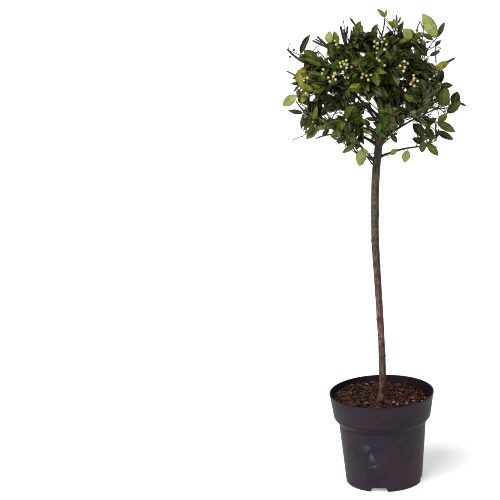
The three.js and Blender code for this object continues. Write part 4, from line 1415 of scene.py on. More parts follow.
heights = np.linspace(STEM_FOOT - STEM_SUNK, STEM_TOP, STEM_RINGS)
stem_places = [smooth_stem_at(z) for z in heights]
angles = np.arange(STEM_SIDES) * 2 * np.pi / STEM_SIDES
low = np.exp(-np.maximum(heights - STEM_FOOT, 0) / FLARE_HEIGHT)[:, None]
girth = np.array([r for _, r in stem_places])[:, None] + BARK_DEPTH
girth = girth * (1 + FLARE_SHARE * low) * (1 + FLARE_LOBE_SHARE * low * np.cos(FLARE_LOBES * angles))
surface = np.zeros_like(girth)
for i, z in enumerate(heights):
    for s, angle in enumerate(angles):
        side = Vector((math.cos(angle), math.sin(angle), 0))
        ridges = noise.noise(side * 5.5 + Vector((0, 0, z / 34)))
        swell = noise.noise(side * 1.1 + Vector((7, 3, z / 60)))
        surface[i, s] = RIDGE_HEIGHT * ridges + SWELL_HEIGHT * swell
for z, azimuth in KNOTS:
    around = angle_gap(angles, math.radians(azimuth))[None, :] * girth
    surface += bump_round(KNOT_RISE, (heights - z)[:, None], around, KNOT_SIZE)
chance = seeded(FRUIT_SEED + 1)
for _ in range(PORE_COUNT):
    z, azimuth = mix(STEM_FOOT, STEM_TOP, chance()), chance() * 2 * math.pi
    around = angle_gap(angles, azimuth)[None, :] * girth
    pore = np.exp(-(((heights - z)[:, None] / 1.1) ** 2) - (around / 1.9) ** 2)
    surface += PORE_RISE * pore
to_end = np.clip((heights[-1] - heights) / STEM_END_ROUND, 0, 1)[:, None]
girth = (girth + surface) * np.sqrt(1 - (1 - to_end) ** 2 * 0.9)
stem = Gathering()
stem.add(*tube([p for p, _ in stem_places], girth, STEM_SIDES), 0)
stem.build("stem_bark_relief", [stem_bark], "bark", ["stem"])

# %% [markdown]
# The boughs leave the stem inside its bark and swell into it at a collar. They are thinner than
# a pencil here, with a slight wobble from bud to bud.

# %% The boughs
BOUGH_RINGS, BOUGH_SIDES = 30, 14
COLLAR_SHARE, COLLAR_LENGTH = 0.55, 9
# The vector noise of the wobble starts at offsets drawn by the clock unless it is given a seed.
WOBBLE_SEED = 5
noise.seed_set(WOBBLE_SEED)
boughs = Gathering()
for limb in LIMBS:
    line = limb["line"]
    whole = Shoot(line, limb["base"], BOUGH_TIP_R, 2, limb)
    shares = [i / (BOUGH_RINGS - 1) for i in range(BOUGH_RINGS)]
    heading = (line[1] - line[0]).normalized()
    curve = bend(line[0], heading, line[-1], BOUGH_RINGS - 1)
    points, radii = [], []
    stem_r = stem_at(limb["start"])[1]
    for share, p in zip(shares, curve):
        wobble = 0.5 * math.sin(math.pi * share)
        points.append(p + noise.noise_vector(p / 22) * wobble)
        out_of_stem = max(share * whole.length - stem_r, 0)
        collar = 1 + COLLAR_SHARE * math.exp(-out_of_stem / COLLAR_LENGTH)
        radii.append(whole.radius(share) * collar * (1 + 0.07 * noise.noise(p / 9)))
    boughs.add(*tube(points, radii, BOUGH_SIDES), 0)
bough_nodes = ["bough_" + limb["name"] for limb in LIMBS]
boughs.build("bough_bark_relief", [bough_bark], "bark", bough_nodes)

# %% [markdown]
# Twigs are tubes as well, thickened a little at each bud. This year's growth is olive and
# slightly purple, and what is older has turned grey-brown, so the piece has two finishes.

# %% The twigs
TWIG_GRAIN = (600.0, 2.5, 0.0004)
TWIG_DOTS = (420.0, 0.3, (138, 122, 100))
old_twig = plain_finish(
    "old_twig", (0.7, 0.35), ((38, 24, 21), (64, 47, 40)), 150.0, TWIG_GRAIN, TWIG_DOTS, 0.14, 0.5
)
young_twig = plain_finish(
    "young_twig", (0.5, 0.35), ((62, 58, 34), (94, 98, 54)), 150.0, TWIG_GRAIN, TWIG_DOTS, 0.14, 0.5
)
BUD_PITCH, BUD_SWELL = 11, 0.22
foliage_nodes = ["foliage_" + limb["name"] for limb in LIMBS]


def add_twig(gathering, axis, steps, sides, slot, sunk=0.0):
    """One twig as a tube that starts a little inside the wood it grows from."""
    points, radii = [], []
    for i in range(steps + 1):
        share = i / steps
        p, along = axis.at(share)
        bud = math.cos(math.pi * share * axis.length / BUD_PITCH) ** 8
        points.append(p - along * (sunk if i == 0 else 0))
        radii.append(axis.radius(share) * (1 + BUD_SWELL * bud) * (0.75 if i == steps else 1))
    gathering.add(*tube(points, radii, sides), slot)


wood = Gathering()
for shoot in shoots:
    add_twig(wood, shoot, 16, 7, 0 if shoot.age == 2 else 1, sunk=1.5)
for twig in twigs:
    add_twig(wood, twig, 8, 6, 1, sunk=1)
for twig in connections:
    add_twig(wood, twig, 10, 6, 0, sunk=1)
wood.build("twigs", [old_twig, young_twig], "bark", foliage_nodes)

# %% [markdown]
# A holly leaf is a stiff, glossy blade. It folds up a little from its midrib, bends back towards
# its tip, and its edge waves, with a few spines on some leaves. Each blade is a closed thin
# shape of its own: an upper sheet and an under sheet that meet at the edge, where the mesh is
# marked as sharp so that the gloss runs right to the rim. The midrib is a narrow strip of its own.

# %% The shape of a leaf
LEAF_ROWS = 9
LEAF_COLUMNS = np.array([-1, -0.56, -0.07, 0.07, 0.56, 1])
LEAF_THICKNESS, RIB_DEPTH = 0.4, 0.3
LEAF_BASE_SHARE = 0.07
LEAF_POINT = 0.35
UPPER, RIB, UNDER = 0, 1, 2
row_shares = np.arange(LEAF_ROWS) / LEAF_ROWS


def row_widths(leaf):
    """Half the blade's width at each row, and how far each row's edge stands out or in."""
    oval = np.sin(np.pi * row_shares**0.9) ** 0.66
    oval = oval * (1 - LEAF_POINT * row_shares**6)
    spiny = np.where(np.arange(LEAF_ROWS) % 2 == 1, 0.26, -0.14) * leaf.spines
    oval = np.maximum(oval, LEAF_BASE_SHARE)
    return oval * leaf.width / 2, 1 + spiny * np.sin(np.pi * row_shares)


def turned_pair(a, b, angles):
    """Two directions that stand square to each other, turned in their plane by each angle."""
    cos, sin = np.cos(angles)[:, None], np.sin(angles)[:, None]
    return cos * a - sin * b, sin * a + cos * b


def leaf_surface(leaf):
    """The blade's upper points, by row and column, its normals, and the point of its tip."""
    along, normal = np.array(leaf.direction), np.array(leaf.normal)
    shares = np.append(row_shares, 1.0)
    runs, ups = turned_pair(along, normal, leaf.curl * shares**1.6)
    steps = (runs[1:] + runs[:-1]) / 2 * (leaf.length / LEAF_ROWS)
    ribs = np.array(leaf.root) + np.vstack([np.zeros(3), np.cumsum(steps, axis=0)])
    ups, sides = turned_pair(ups, np.cross(along, normal), leaf.twist * shares)
    widths, edges = row_widths(leaf)
    columns = LEAF_COLUMNS[None, :] * np.where(np.abs(LEAF_COLUMNS) == 1, edges[:, None], 1)
    out = np.abs(LEAF_COLUMNS)[None, :]
    waves = np.sin(leaf.phase + row_shares[:, None] * 11 + (LEAF_COLUMNS > 0)[None, :] * 2.1)
    lift = widths[:, None] * (out * math.sin(leaf.fold) - leaf.cup * out**2)
    lift = lift + leaf.wave * waves * out**3 * np.sin(np.pi * row_shares)[:, None]
    spread = columns * widths[:, None] * math.cos(leaf.fold)
    surface = ribs[:-1, None] + spread[..., None] * sides[:-1, None] + lift[..., None] * ups[:-1, None]
    return surface, ups[:-1], ribs[-1]


def leaf_faces():
    """The faces of a blade and their materials: upper sheet, under sheet, tip and base."""
    many = len(LEAF_COLUMNS)
    top = np.arange(LEAF_ROWS * many).reshape(LEAF_ROWS, many)
    under = top.copy()
    inner = np.arange(LEAF_ROWS * (many - 2)).reshape(LEAF_ROWS, many - 2)
    under[:, 1:-1] = inner + LEAF_ROWS * many
    tip = LEAF_ROWS * many + LEAF_ROWS * (many - 2)
    faces, slots = [], []
    for c in range(many - 1):
        slot = RIB if c == many // 2 - 1 else UPPER
        for r in range(LEAF_ROWS - 1):
            faces.append((top[r, c], top[r, c + 1], top[r + 1, c + 1], top[r + 1, c]))
            faces.append((under[r, c], under[r + 1, c], under[r + 1, c + 1], under[r, c + 1]))
            slots += [slot, UNDER]
        faces.append((top[-1, c], top[-1, c + 1], tip))
        faces.append((under[-1, c + 1], under[-1, c], tip))
        slots += [slot, UNDER]
    faces.append((*top[0, ::-1], *under[0, 1:-1]))
    slots.append(UNDER)
    return [tuple(int(i) for i in face) for face in faces], slots


LEAF_FACES, LEAF_SLOTS = leaf_faces()
across = np.tile((LEAF_COLUMNS + 1) / 2, (LEAF_ROWS, 1))
upward = np.tile(row_shares[:, None], (1, len(LEAF_COLUMNS)))
upper_places = np.stack([across, upward], axis=-1)
LEAF_PLACES = np.vstack([upper_places.reshape(-1, 2), upper_places[:, 1:-1].reshape(-1, 2), [[0.5, 1]]])
edge_columns = np.abs(np.tile(LEAF_COLUMNS, LEAF_ROWS)) == 1
LEAF_CRISP = np.append(edge_columns, np.zeros(LEAF_ROWS * (len(LEAF_COLUMNS) - 2) + 1, bool))
LEAF_CRISP[-1] = True


def add_leaf(gathering, leaf):
    """One closed blade."""
    surface, ups, tip = leaf_surface(leaf)
    near_rib = np.abs(LEAF_COLUMNS) < 0.1
    top = surface - ups[:, None] * (near_rib * RIB_DEPTH)[None, :, None]
    under = surface - ups[:, None] * (LEAF_THICKNESS + near_rib * RIB_DEPTH * 2)[None, :, None]
    points = np.vstack([top.reshape(-1, 3), under[:, 1:-1].reshape(-1, 3), tip[None]])
    gathering.add(points, LEAF_FACES, LEAF_SLOTS, LEAF_PLACES, LEAF_CRISP)


print("faces of a leaf", len(LEAF_FACES))

# %% [markdown]
# The upper side is dark and waxy with slightly sunken veins, the midrib is paler, and the under
# side is a dull yellow-green. Young and shaded leaves differ, so there are six colours, and each
# leaf was given one of them above; the darker ones go more often to leaves inside the head and
# low in it, partly as painted shade.

# %% Leaf materials
# Dark and light paint, and roughness.
LEAF_LOOKS = {
    "deep": ((12, 17, 0), (34, 41, 4), 0.26),
    "green": ((42, 50, 4), (74, 82, 14), 0.3),
    "bright": ((30, 56, 0), (56, 88, 4), 0.34),
    "olive": ((88, 90, 14), (126, 124, 34), 0.4),
    "bronze": ((44, 36, 22), (70, 62, 38), 0.36),
    # The pale paint stands partly for sunlight shining through the blade: painted light.
    "pale": ((100, 108, 46), (150, 153, 88), 0.48),
}
RIM_SHADE_SHARE = 0.6
WAX_TINT = (0.85, 0.9, 0.5, 1.0)
VEIN_PAINT = (168, 172, 98)


def leaf_material(name, dark, light, roughness, specular, coat, vein_share):
    """A blade's finish: mottled green, with paler veins and painted shade darkening the rim."""
    material, tree, shader, place = new_material(name, roughness, specular, coat)
    shader.inputs["Specular Tint"].default_value = WAX_TINT
    body = mottled(tree, place["Object"], 46.0, 0.2, dark, light)
    lines = use_group(tree, veins, Place=place["UV"], Pairs=7.0)
    pale = paint(*(min(255, value * 1.35 + 14) for value in light))
    veined = blended(tree, times(tree, lines["Mask"], vein_share), body, pale)
    # Painted shade: the blade darkens towards its rim.
    rim = times(tree, lines["Rim"], RIM_SHADE_SHARE)
    shaded = paint(*(value * 0.4 for value in dark))
    tree.links.new(blended(tree, rim, veined, shaded), shader.inputs["Base Color"])
    grain = use_group(tree, relief, Place=place["Object"], Scale=700.0, Fineness=3.0)
    fine = times(tree, grain["Height"], 0.3)
    raise_surface(tree, shader, worked(tree, "ADD", lines["Height"], fine), 0.0005)
    return material


def rib_finish(name, dark, light, roughness=0.5):
    return plain_finish(name, (roughness, 0.4), (dark, light), 60.0, (900.0, 2.0, 0.0003))


def paler(colour, share):
    """A colour moved a share of the way to the pale green of veins."""
    return tuple(mix(value, pale, share) for value, pale in zip(colour, VEIN_PAINT))


under_leaf = leaf_material("under_leaf", (66, 72, 28), (98, 100, 48), 0.62, 0.25, 0.0, 0.25)
pieces_of_leaf = {colour: Gathering() for colour, _ in SPRAY_COLOURS}
for leaf in leaves:
    add_leaf(pieces_of_leaf[leaf.colour], leaf)
for colour, (dark, light, roughness) in LEAF_LOOKS.items():
    upper = leaf_material("upper_" + colour, dark, light, roughness, 0.3, 0.08, 0.16)
    rib = rib_finish("rib_" + colour, paler(dark, 0.35), paler(light, 0.45))
    finishes = [upper, rib, under_leaf]
    pieces_of_leaf[colour].build("leaves_" + colour, finishes, "foliage", foliage_nodes)

# %% [markdown]
# Each leaf hangs on a short stalk, and each berry on a thinner one. They are tiny tubes, joined
# into one piece.

# %% Leaf stalks
STALK_R, STALK_FOOT_R = 0.75, 1.0
BERRY_R, BERRY_R_SPREAD = 3.5, 0.5
BERRY_STALK_R = 0.45
stalk_green = rib_finish("stalk_green", (84, 88, 40), (120, 118, 62))
stalks = Gathering()
for leaf in leaves:
    start = leaf.twig_point
    end = leaf.root + leaf.direction * 1.5 - leaf.normal * 0.4
    middle = (start + end) / 2 - leaf.normal * 0.5
    stalks.add(*tube([start, middle, end], [STALK_FOOT_R, STALK_R, STALK_R], 5), 0)

# %% [markdown]
# The berries are not ripe yet: they are yellow-green, and a few are turning amber. A berry is a
# slightly flattened ball with the four-lobed dark scar of the flower at its end.

# %% The berries
BERRY_SIDES, BERRY_STEPS, BERRY_FLATNESS = 12, 8, 0.94
SCAR_LOBES, SCAR_R = 4, 0.26
CREAM_UNDER, GREEN_UNDER = 0.55, 0.9


def berry_mesh():
    """The points and faces of a berry of radius one that hangs along -Z, scar at its low end."""
    angles = [2 * math.pi * s / BERRY_SIDES for s in range(BERRY_SIDES)]
    polars = [math.pi * i / BERRY_STEPS for i in range(BERRY_STEPS - 1, 0, -1)]
    rings = [ring(math.sin(p), BERRY_FLATNESS * math.cos(p), angles) for p in polars]
    return closed_rings((0, 0, -BERRY_FLATNESS), rings, (0, 0, 1))


def scar_mesh():
    """A small low star of four lobes."""
    points = [(0, 0, -1.04)]
    for s in range(2 * SCAR_LOBES):
        angle = math.pi * s / SCAR_LOBES
        r = SCAR_R * (1 if s % 2 == 0 else 0.55)
        points.append((r * math.cos(angle), r * math.sin(angle), -0.9))
    around = range(1, 2 * SCAR_LOBES + 1)
    faces = [(0, i % (2 * SCAR_LOBES) + 1, i) for i in around]
    return np.array(points), [*faces, tuple(around)]


BERRY_PAINTS = {
    "berry_cream": ((166, 158, 84), (198, 190, 126)),
    "berry_green": ((138, 146, 58), (170, 176, 90)),
    "berry_amber": ((112, 82, 20), (148, 116, 40)),
    "berry_dark": ((54, 50, 20), (92, 84, 40)),
}
BERRY_SHINE, BERRY_GRAIN = (0.3, 0.5, 0.25), (500.0, 3.0, 0.0002)
BERRY_DOTS = (1400.0, 0.35, (120, 110, 50))
berry_finishes = [
    plain_finish(name, BERRY_SHINE, paints, 160.0, BERRY_GRAIN, BERRY_DOTS)
    for name, paints in BERRY_PAINTS.items()
]
berry_finishes.append(rib_finish("berry_scar", (46, 36, 22), (70, 58, 34), 0.8))
BERRY_DARK, BERRY_SCAR = len(berry_finishes) - 2, len(berry_finishes) - 1
ball_points, ball_faces = berry_mesh()
star_points, star_faces = scar_mesh()
berries = Gathering()


def add_berry(p, foot, random, slot=None):
    """A berry on its stalk from a point on the wood, of a chosen finish or one by chance."""
    radius = BERRY_R + BERRY_R_SPREAD * (2 * random() - 1)
    hang = (p - foot).normalized() if (p - foot).length > 0.1 else Vector((0, 0, -1))
    turn = np.array((-hang).to_track_quat("Z", "Y").to_matrix()) * radius
    draw = random()
    if slot is None:
        slot = 0 if draw < CREAM_UNDER else 1 if draw < GREEN_UNDER else 2
    berries.add(ball_points @ turn.T + np.array(p), ball_faces, slot)
    berries.add(star_points @ turn.T + np.array(p), star_faces, BERRY_SCAR)
    top = p - hang * radius * 0.9
    bow = (foot + top) / 2 + Vector((0, 0, 1.5))
    stalks.add(*tube([foot, bow, top], [BERRY_STALK_R * 1.5, BERRY_STALK_R, BERRY_STALK_R], 5), 0)


chance = seeded(FRUIT_SEED + 2)
for cluster in clusters:
    for p in cluster.berries:
        share = min(max(cluster.share + 0.06 * (chance() - 0.5), 0), 1)
        add_berry(p, cluster.axis.at(share)[0], chance)
for pixel, behind in BERRIES_ALONE:
    p = place_in_photo(pixel, behind)
    axis, share = nearest_on(connections, p)
    add_berry(p, axis.at(share)[0], chance, BERRY_DARK)
berries.build("berries", berry_finishes, "foliage", foliage_nodes)
stalks.build("leaf_and_berry_stalks", [stalk_green], "foliage", foliage_nodes)

# %% [markdown]
# The pot is moulded in one thin wall: a tapered body, a wider collar for stacking, a small bead
# at the rim, and a raised channel in the floor that lets water out. It is turned from one
# profile with rounded corners, and the four notches in the foot ring and the drain holes are cut
# out of it with Booleans, as the mould's inserts do.

# %% The pot's shape
POT_HEIGHT, POT_RIM_R, POT_FOOT_R, POT_WALL = 250, 140, 102.5, 2
COLLAR_FOOT_Z, COLLAR_FOOT_R, BODY_TOP_Z, BODY_TOP_R = 184, 130, 168, 117
RIM_LIP, RIM_BEAD, RIM_BEAD_WIDTH = 1, 6, 3.5
CHANNEL_Z, CHANNEL_INNER_R, CHANNEL_OUTER_R, CHANNEL_SLANT = 14, 64, 97, 4
NOTCH_COUNT, NOTCH_AZIMUTH, NOTCH_WIDTH, NOTCH_TOP_WIDTH = 4, -98, 50, 36
NOTCH_HEIGHT, NOTCH_START_R, NOTCH_DEPTH = 12, 75, 40
DRAIN_HOLES, DRAIN_HOLE_R = 6, 6
POT_SIDES, CORNER_STEPS = 160, 4
POT_WARP = 0.5


def pot_inner_radius(z):
    """The radius of the pot's inside at a height."""
    levels = [0, BODY_TOP_Z, COLLAR_FOOT_Z, POT_HEIGHT]
    outer = np.interp(z, levels, [POT_FOOT_R, BODY_TOP_R, COLLAR_FOOT_R, POT_RIM_R - RIM_LIP])
    return float(outer) - POT_WALL


def rounded_profile(corners):
    """A profile with each corner rounded off by its own size, and short steps beside the arcs."""
    profile = []
    for i, (r, z, size) in enumerate(corners):
        p = Vector((r, z, 0))
        if size == 0 or i in (0, len(corners) - 1):
            profile.append((r, z))
            continue
        before = Vector((*corners[i - 1][:2], 0)) - p
        after = Vector((*corners[i + 1][:2], 0)) - p
        start = p + before.normalized() * min(size, before.length * 0.45)
        end = p + after.normalized() * min(size, after.length * 0.45)
        lead_in = start + before.normalized() * min(size, before.length * 0.3)
        lead_out = end + after.normalized() * min(size, after.length * 0.3)
        shares = [k / CORNER_STEPS for k in range(CORNER_STEPS + 1)]
        arc = [start * (1 - s) ** 2 + p * (2 * s * (1 - s)) + end * s**2 for s in shares]
        profile += [(q.x, q.y) for q in (lead_in, *arc, lead_out)]
    return profile


def turned_mesh(name, profile, sides):
    """A closed mesh of a profile, from axis to axis, turned about Z."""
    angles = [2 * math.pi * s / sides for s in range(sides)]
    (_, low), *wall, (_, high) = profile
    rings = [ring(r, z, angles) for r, z in wall]
    points, faces = closed_rings((0, 0, low), rings, (0, 0, high))
    mesh = bpy.data.meshes.new(name)
    mesh.from_pydata(points * MM, [], faces)
    return mesh


channel_floor = CHANNEL_Z + POT_WALL
POT_CORNERS = [
    (0, 0, 0),
    (CHANNEL_INNER_R - CHANNEL_SLANT, 0, 2),
    (CHANNEL_INNER_R, CHANNEL_Z, 2),
    (CHANNEL_OUTER_R - 1, CHANNEL_Z, 2),
    (CHANNEL_OUTER_R, 0, 1),
    (POT_FOOT_R, 0, 1.5),
    (BODY_TOP_R, BODY_TOP_Z, 2.5),
    (COLLAR_FOOT_R, COLLAR_FOOT_Z, 3),
    (POT_RIM_R - RIM_LIP, POT_HEIGHT - RIM_BEAD, 1),
    (POT_RIM_R, POT_HEIGHT - RIM_BEAD + 1, 0.6),
    (POT_RIM_R, POT_HEIGHT, 1.2),
    (POT_RIM_R - RIM_BEAD_WIDTH, POT_HEIGHT, 1.2),
    (pot_inner_radius(COLLAR_FOOT_Z), COLLAR_FOOT_Z, 3),
    (pot_inner_radius(BODY_TOP_Z), BODY_TOP_Z, 3),
    (pot_inner_radius(channel_floor), channel_floor, 2),
    (CHANNEL_INNER_R - 1, channel_floor, 2),
    (CHANNEL_INNER_R - 1 - CHANNEL_SLANT, POT_WALL, 2),
    (0, POT_WALL, 0),
]
pot_profile = rounded_profile(POT_CORNERS)
pot_mesh = turned_mesh("pot_shell", pot_profile, POT_SIDES)
print("pot profile", len(pot_profile), "points")

# %% Cuts in the pot
def cutter(name, parts):
    """A mesh object of closed parts that is taken away from the pot, its faces turned outwards."""
    shape = Gathering()
    for points, faces in parts:
        shape.add(points, faces, 0)
    mesh = shape.as_mesh(name)
    facing = bmesh.new()
    facing.from_mesh(mesh)
    bmesh.ops.recalc_face_normals(facing, faces=facing.faces)
    facing.to_mesh(mesh)
    facing.free()
    return put_in_scene(name, mesh)


def notch(azimuth):
    """A wedge under the foot ring, wider at the ground."""
    out = Vector((math.cos(azimuth), math.sin(azimuth), 0))
    side = Vector((-out.y, out.x, 0))
    points = []
    for reach in (NOTCH_START_R, NOTCH_START_R + NOTCH_DEPTH):
        for width, z in ((NOTCH_WIDTH, -1), (NOTCH_TOP_WIDTH, NOTCH_HEIGHT)):
            for hand in (-1, 1):
                points.append(out * reach + side * (hand * width / 2) + Vector((0, 0, z)))
    faces = [(0, 1, 3, 2), (4, 6, 7, 5), (0, 4, 5, 1), (2, 3, 7, 6), (0, 2, 6, 4), (1, 5, 7, 3)]
    return [tuple(p) for p in points], faces


def drain_hole(azimuth):
    r = (CHANNEL_INNER_R + CHANNEL_OUTER_R) / 2
    foot = Vector((r * math.cos(azimuth), r * math.sin(azimuth), CHANNEL_Z - 5))
    return tube([foot, foot + Vector((0, 0, 12))], [DRAIN_HOLE_R] * 2, 20)


notches = [math.radians(NOTCH_AZIMUTH + 360 / NOTCH_COUNT * i) for i in range(NOTCH_COUNT)]
holes = [math.radians(NOTCH_AZIMUTH + 360 / DRAIN_HOLES * (i + 0.5)) for i in range(DRAIN_HOLES)]
cutters = cutter("pot_cuts", [notch(a) for a in notches] + [drain_hole(a) for a in holes])
pot = put_in_scene("pot_shell", pot_mesh)
cut = pot.modifiers.new("cut", "BOOLEAN")
cut.operation, cut.solver, cut.object = "DIFFERENCE", "EXACT", cutters
bpy.context.view_layer.update()
shown = pot.evaluated_get(bpy.context.evaluated_depsgraph_get())
cut_mesh = bpy.data.meshes.new_from_object(shown)
pot.modifiers.clear()
pot.data = cut_mesh
bpy.data.objects.remove(cutters)

# %% [markdown]
# A moulded pot is never quite round, so the wall is pushed in and out by half a millimetre. Edges
# sharper than about a quarter turn stay crisp, and the rest are smooth.

# %% A little warp
CRISP_TURN = math.radians(32)

shaping = bmesh.new()
shaping.from_mesh(pot.data)
for vertex in shaping.verts:
    azimuth = math.atan2(vertex.co.y, vertex.co.x)
    side = Vector((math.cos(azimuth), math.sin(azimuth), 0))
    above = min(vertex.co.z / 0.05, 1)
    vertex.co += side * noise.noise(side * 1.3 + Vector((0, 0, vertex.co.z * 5))) * POT_WARP * MM * above
for face in shaping.faces:
    face.smooth = True
for edge in shaping.edges:
    if len(edge.link_faces) == 2 and edge.calc_face_angle() > CRISP_TURN:
        edge.smooth = False
shaping.to_mesh(pot.data)
shaping.free()

# %% [markdown]
# The plastic is a dull purplish black. Painted shade makes it a little darker on the collar and
# darkest on the ledge under it. Handling has left pale scuffs low on the front and fine scratches
# round the wall that make the gloss uneven, and a few specks of dust lie on it.

# %% The pot's plastic
SCUFF_PLACES = [
    ((362.5, 448), 5), ((365.5, 448.5), 5), ((368, 450), 5), ((369.5, 453), 5), ((371, 456), 5),
    ((372, 459), 5), ((372.5, 462), 5), ((373, 465), 6), ((370, 466.5), 5), ((376.5, 466.5), 5),
]
COLLAR_SHADE, LEDGE_SHADE, SCUFF_STRENGTH = 0.25, 0.8, 0.4
SCUFF_WALL_Y = -POT_FOOT_R - 4
WHITE = (255, 255, 255)
pot_plastic, tree, shader, place = new_material("pot_plastic", 0.55, 0.14)
on_pot = place["Object"]
cloudy = mottled(tree, on_pot, 60.0, 0.25, (228, 228, 234), WHITE)
colour = product(tree, mottled(tree, on_pot, 9.0, 0.2, (31, 25, 36), (46, 32, 42)), cloudy)
height = node(tree, "ShaderNodeSeparateXYZ", {0: on_pot}).outputs[2]
ledge_start, ledge_end = (BODY_TOP_Z - 4) * MM, (COLLAR_FOOT_Z + 2) * MM
# Painted shade: a little on the collar, and most on the ledge under it.
collar_shading = mapped(tree, height, ledge_start - 6 * MM, ledge_start, 0.0, COLLAR_SHADE)
colour = blended(tree, collar_shading, colour, paint(20, 14, 26))
ledge_shading = mapped(tree, height, ledge_end + 4 * MM, ledge_end, 0.0, LEDGE_SHADE)
ledge_shading = times(tree, ledge_shading, mapped(tree, height, ledge_start, ledge_start + 3 * MM))
colour = blended(tree, ledge_shading, colour, paint(20, 8, 22))
scuffed = None
for pixel, size in SCUFF_PLACES:
    ends = {0: on_pot, 1: tuple(place_in_photo(pixel, SCUFF_WALL_Y) * MM)}
    gap = node(tree, "ShaderNodeVectorMath", ends, operation="DISTANCE").outputs["Value"]
    near = mapped(tree, gap, size * MM * 2.6, 0.0)
    scuffed = near if scuffed is None else worked(tree, "MAXIMUM", scuffed, near)
smears = node(tree, "ShaderNodeTexNoise", {"Vector": on_pot, "Scale": 70.0, "Detail": 2.0})
streaky = mapped(tree, smears.outputs[0], 0.34, 0.72)
scuff = times(tree, times(tree, scuffed, streaky), SCUFF_STRENGTH)
colour = blended(tree, scuff, colour, paint(120, 114, 122))
dust = times(tree, dotted(tree, on_pot, 160.0, 0.2, 0.06), 0.2)
tree.links.new(blended(tree, dust, colour, paint(140, 128, 118)), shader.inputs["Base Color"])
along_scratches = stretched(tree, on_pot, 22.0, 150.0)
scratches = node(tree, "ShaderNodeTexNoise", {"Vector": along_scratches, "Scale": 1.0, "Detail": 5.0})
uneven_gloss = mapped(tree, scratches.outputs[0], 0.3, 0.7, 0.5, 0.56)
tree.links.new(uneven_gloss, shader.inputs["Roughness"])
roughen(tree, shader, on_pot, 160.0, 6.0, 0.0004, 0.6)

# Inside, the wall is darker and redder: partly a film of wet compost, partly painted shade within the pot.
pot_inside = plain_finish(
    "pot_inside", (0.7, 0.2), ((10, 0, 8), (31, 13, 22)), 45.0, (220.0, 4.0, 0.0005)
)
INSIDE = 1
pot.data.materials.clear()
pot.data.materials.append(pot_plastic)
pot.data.materials.append(pot_inside)
for face in pot.data.polygons:
    across = Vector((face.center.x, face.center.y, 0))
    faces_in = face.normal.dot(across) < 0 and face.center.z < (POT_HEIGHT - 1) * MM
    if faces_in and face.center.z > 2 * channel_floor * MM:
        face.material_index = INSIDE
as_piece(pot, ["pot"])

# %% [markdown]
# The compost fills the pot to 2 or 3 cm below the rim, and falls a little to the right and
# towards the viewer. Its body is one closed shape that follows the pot's inside, and its top is
# lumpy. Loose chips and crumbs of composted bark lie on it, each a small many-sided scrap, dark
# brown for the most part and redder at the right.

# %% The compost
SOIL_Z, SOIL_GAP, SOIL_FALL, SOIL_LUMP = 226, 1.2, 0.06, 2.4
SOIL_SHOULDER, SOIL_EDGE_DEPTH, SOIL_EDGE_DROP, SOIL_HEAP = 16, 6, 3, 2.2
SOIL_RINGS, SOIL_SIDES = 46, 110
SOIL_WELL_R, SOIL_WELL_Z, SOIL_FLOOR_Z = 58.8, 2.3, 16.3


def soil_level(x, y):
    """The general level of the compost's top, without its lumps."""
    return SOIL_Z - SOIL_FALL * (x - y)


def soil_height(x, y):
    """The height of the compost's top."""
    lumps = noise.noise(Vector((x / 17, y / 17, 0))) + 0.5 * noise.noise(Vector((x / 6, y / 6, 4)))
    r = math.hypot(x, y)
    edge = SOIL_EDGE_DROP * max(0, (r - 100) / 32) ** 2
    heap = SOIL_HEAP * math.exp(-((r / 26) ** 2))
    fall = (soil_level(x, y) - SOIL_Z) * min(1, r / 60)
    return SOIL_Z - 1 + fall + SOIL_LUMP * lumps - edge + heap


def wall_ring(below):
    """A ring that lies along the pot's wall, a depth below the compost's level there."""
    along_wall = []
    for a in angles:
        across, behind = soil_r * math.cos(a), soil_r * math.sin(a)
        z = soil_level(across, behind) - below
        r = pot_inner_radius(z) - SOIL_GAP
        along_wall.append((r * math.cos(a), r * math.sin(a), z))
    return along_wall


soil_r = pot_inner_radius(SOIL_Z - SOIL_EDGE_DEPTH) - SOIL_GAP
angles = [2 * math.pi * s / SOIL_SIDES for s in range(SOIL_SIDES)]
body_profile = [
    (SOIL_WELL_R, SOIL_WELL_Z),
    (SOIL_WELL_R + 3, SOIL_FLOOR_Z),
    (pot_inner_radius(SOIL_FLOOR_Z) - SOIL_GAP, SOIL_FLOOR_Z),
    (pot_inner_radius(BODY_TOP_Z) - SOIL_GAP, BODY_TOP_Z),
    (pot_inner_radius(COLLAR_FOOT_Z) - SOIL_GAP, COLLAR_FOOT_Z),
]
rings = [ring(r, z, angles) for r, z in body_profile]
rings.append(wall_ring(SOIL_SHOULDER))
top_edge = wall_ring(SOIL_EDGE_DEPTH)
for i in range(SOIL_RINGS):
    inwards = 1 - i / SOIL_RINGS
    flat = [(x * inwards, y * inwards) for x, y, _ in top_edge]
    rings.append([(x, y, soil_height(x, y)) for x, y in flat])
bed = closed_rings((0, 0, SOIL_WELL_Z), rings, (0, 0, soil_height(0, 0)))


def earth_finish(name, dark, light):
    """Mottled bark or compost, broken up by fine fibres."""
    material, tree, shader, place = new_material(name, 0.85, 0.25)
    body = mottled(tree, place["Object"], 130.0, 0.16, dark, light)
    fibres = mottled(tree, place["Object"], 600.0, 0.2, (170, 160, 150), WHITE)
    tree.links.new(product(tree, body, fibres), shader.inputs["Base Color"])
    roughen(tree, shader, place["Object"], 300.0, 4.0, 0.0015)
    return material


compost = Gathering()
compost.add(*bed, 0)
# The bed is near black: dark compost, with painted shade for the gaps between the chips.
compost_dark = earth_finish("compost_dark", (13, 3, 1), (31, 13, 8))
compost.build("compost_bed", [compost_dark], "compost", ["compost"])

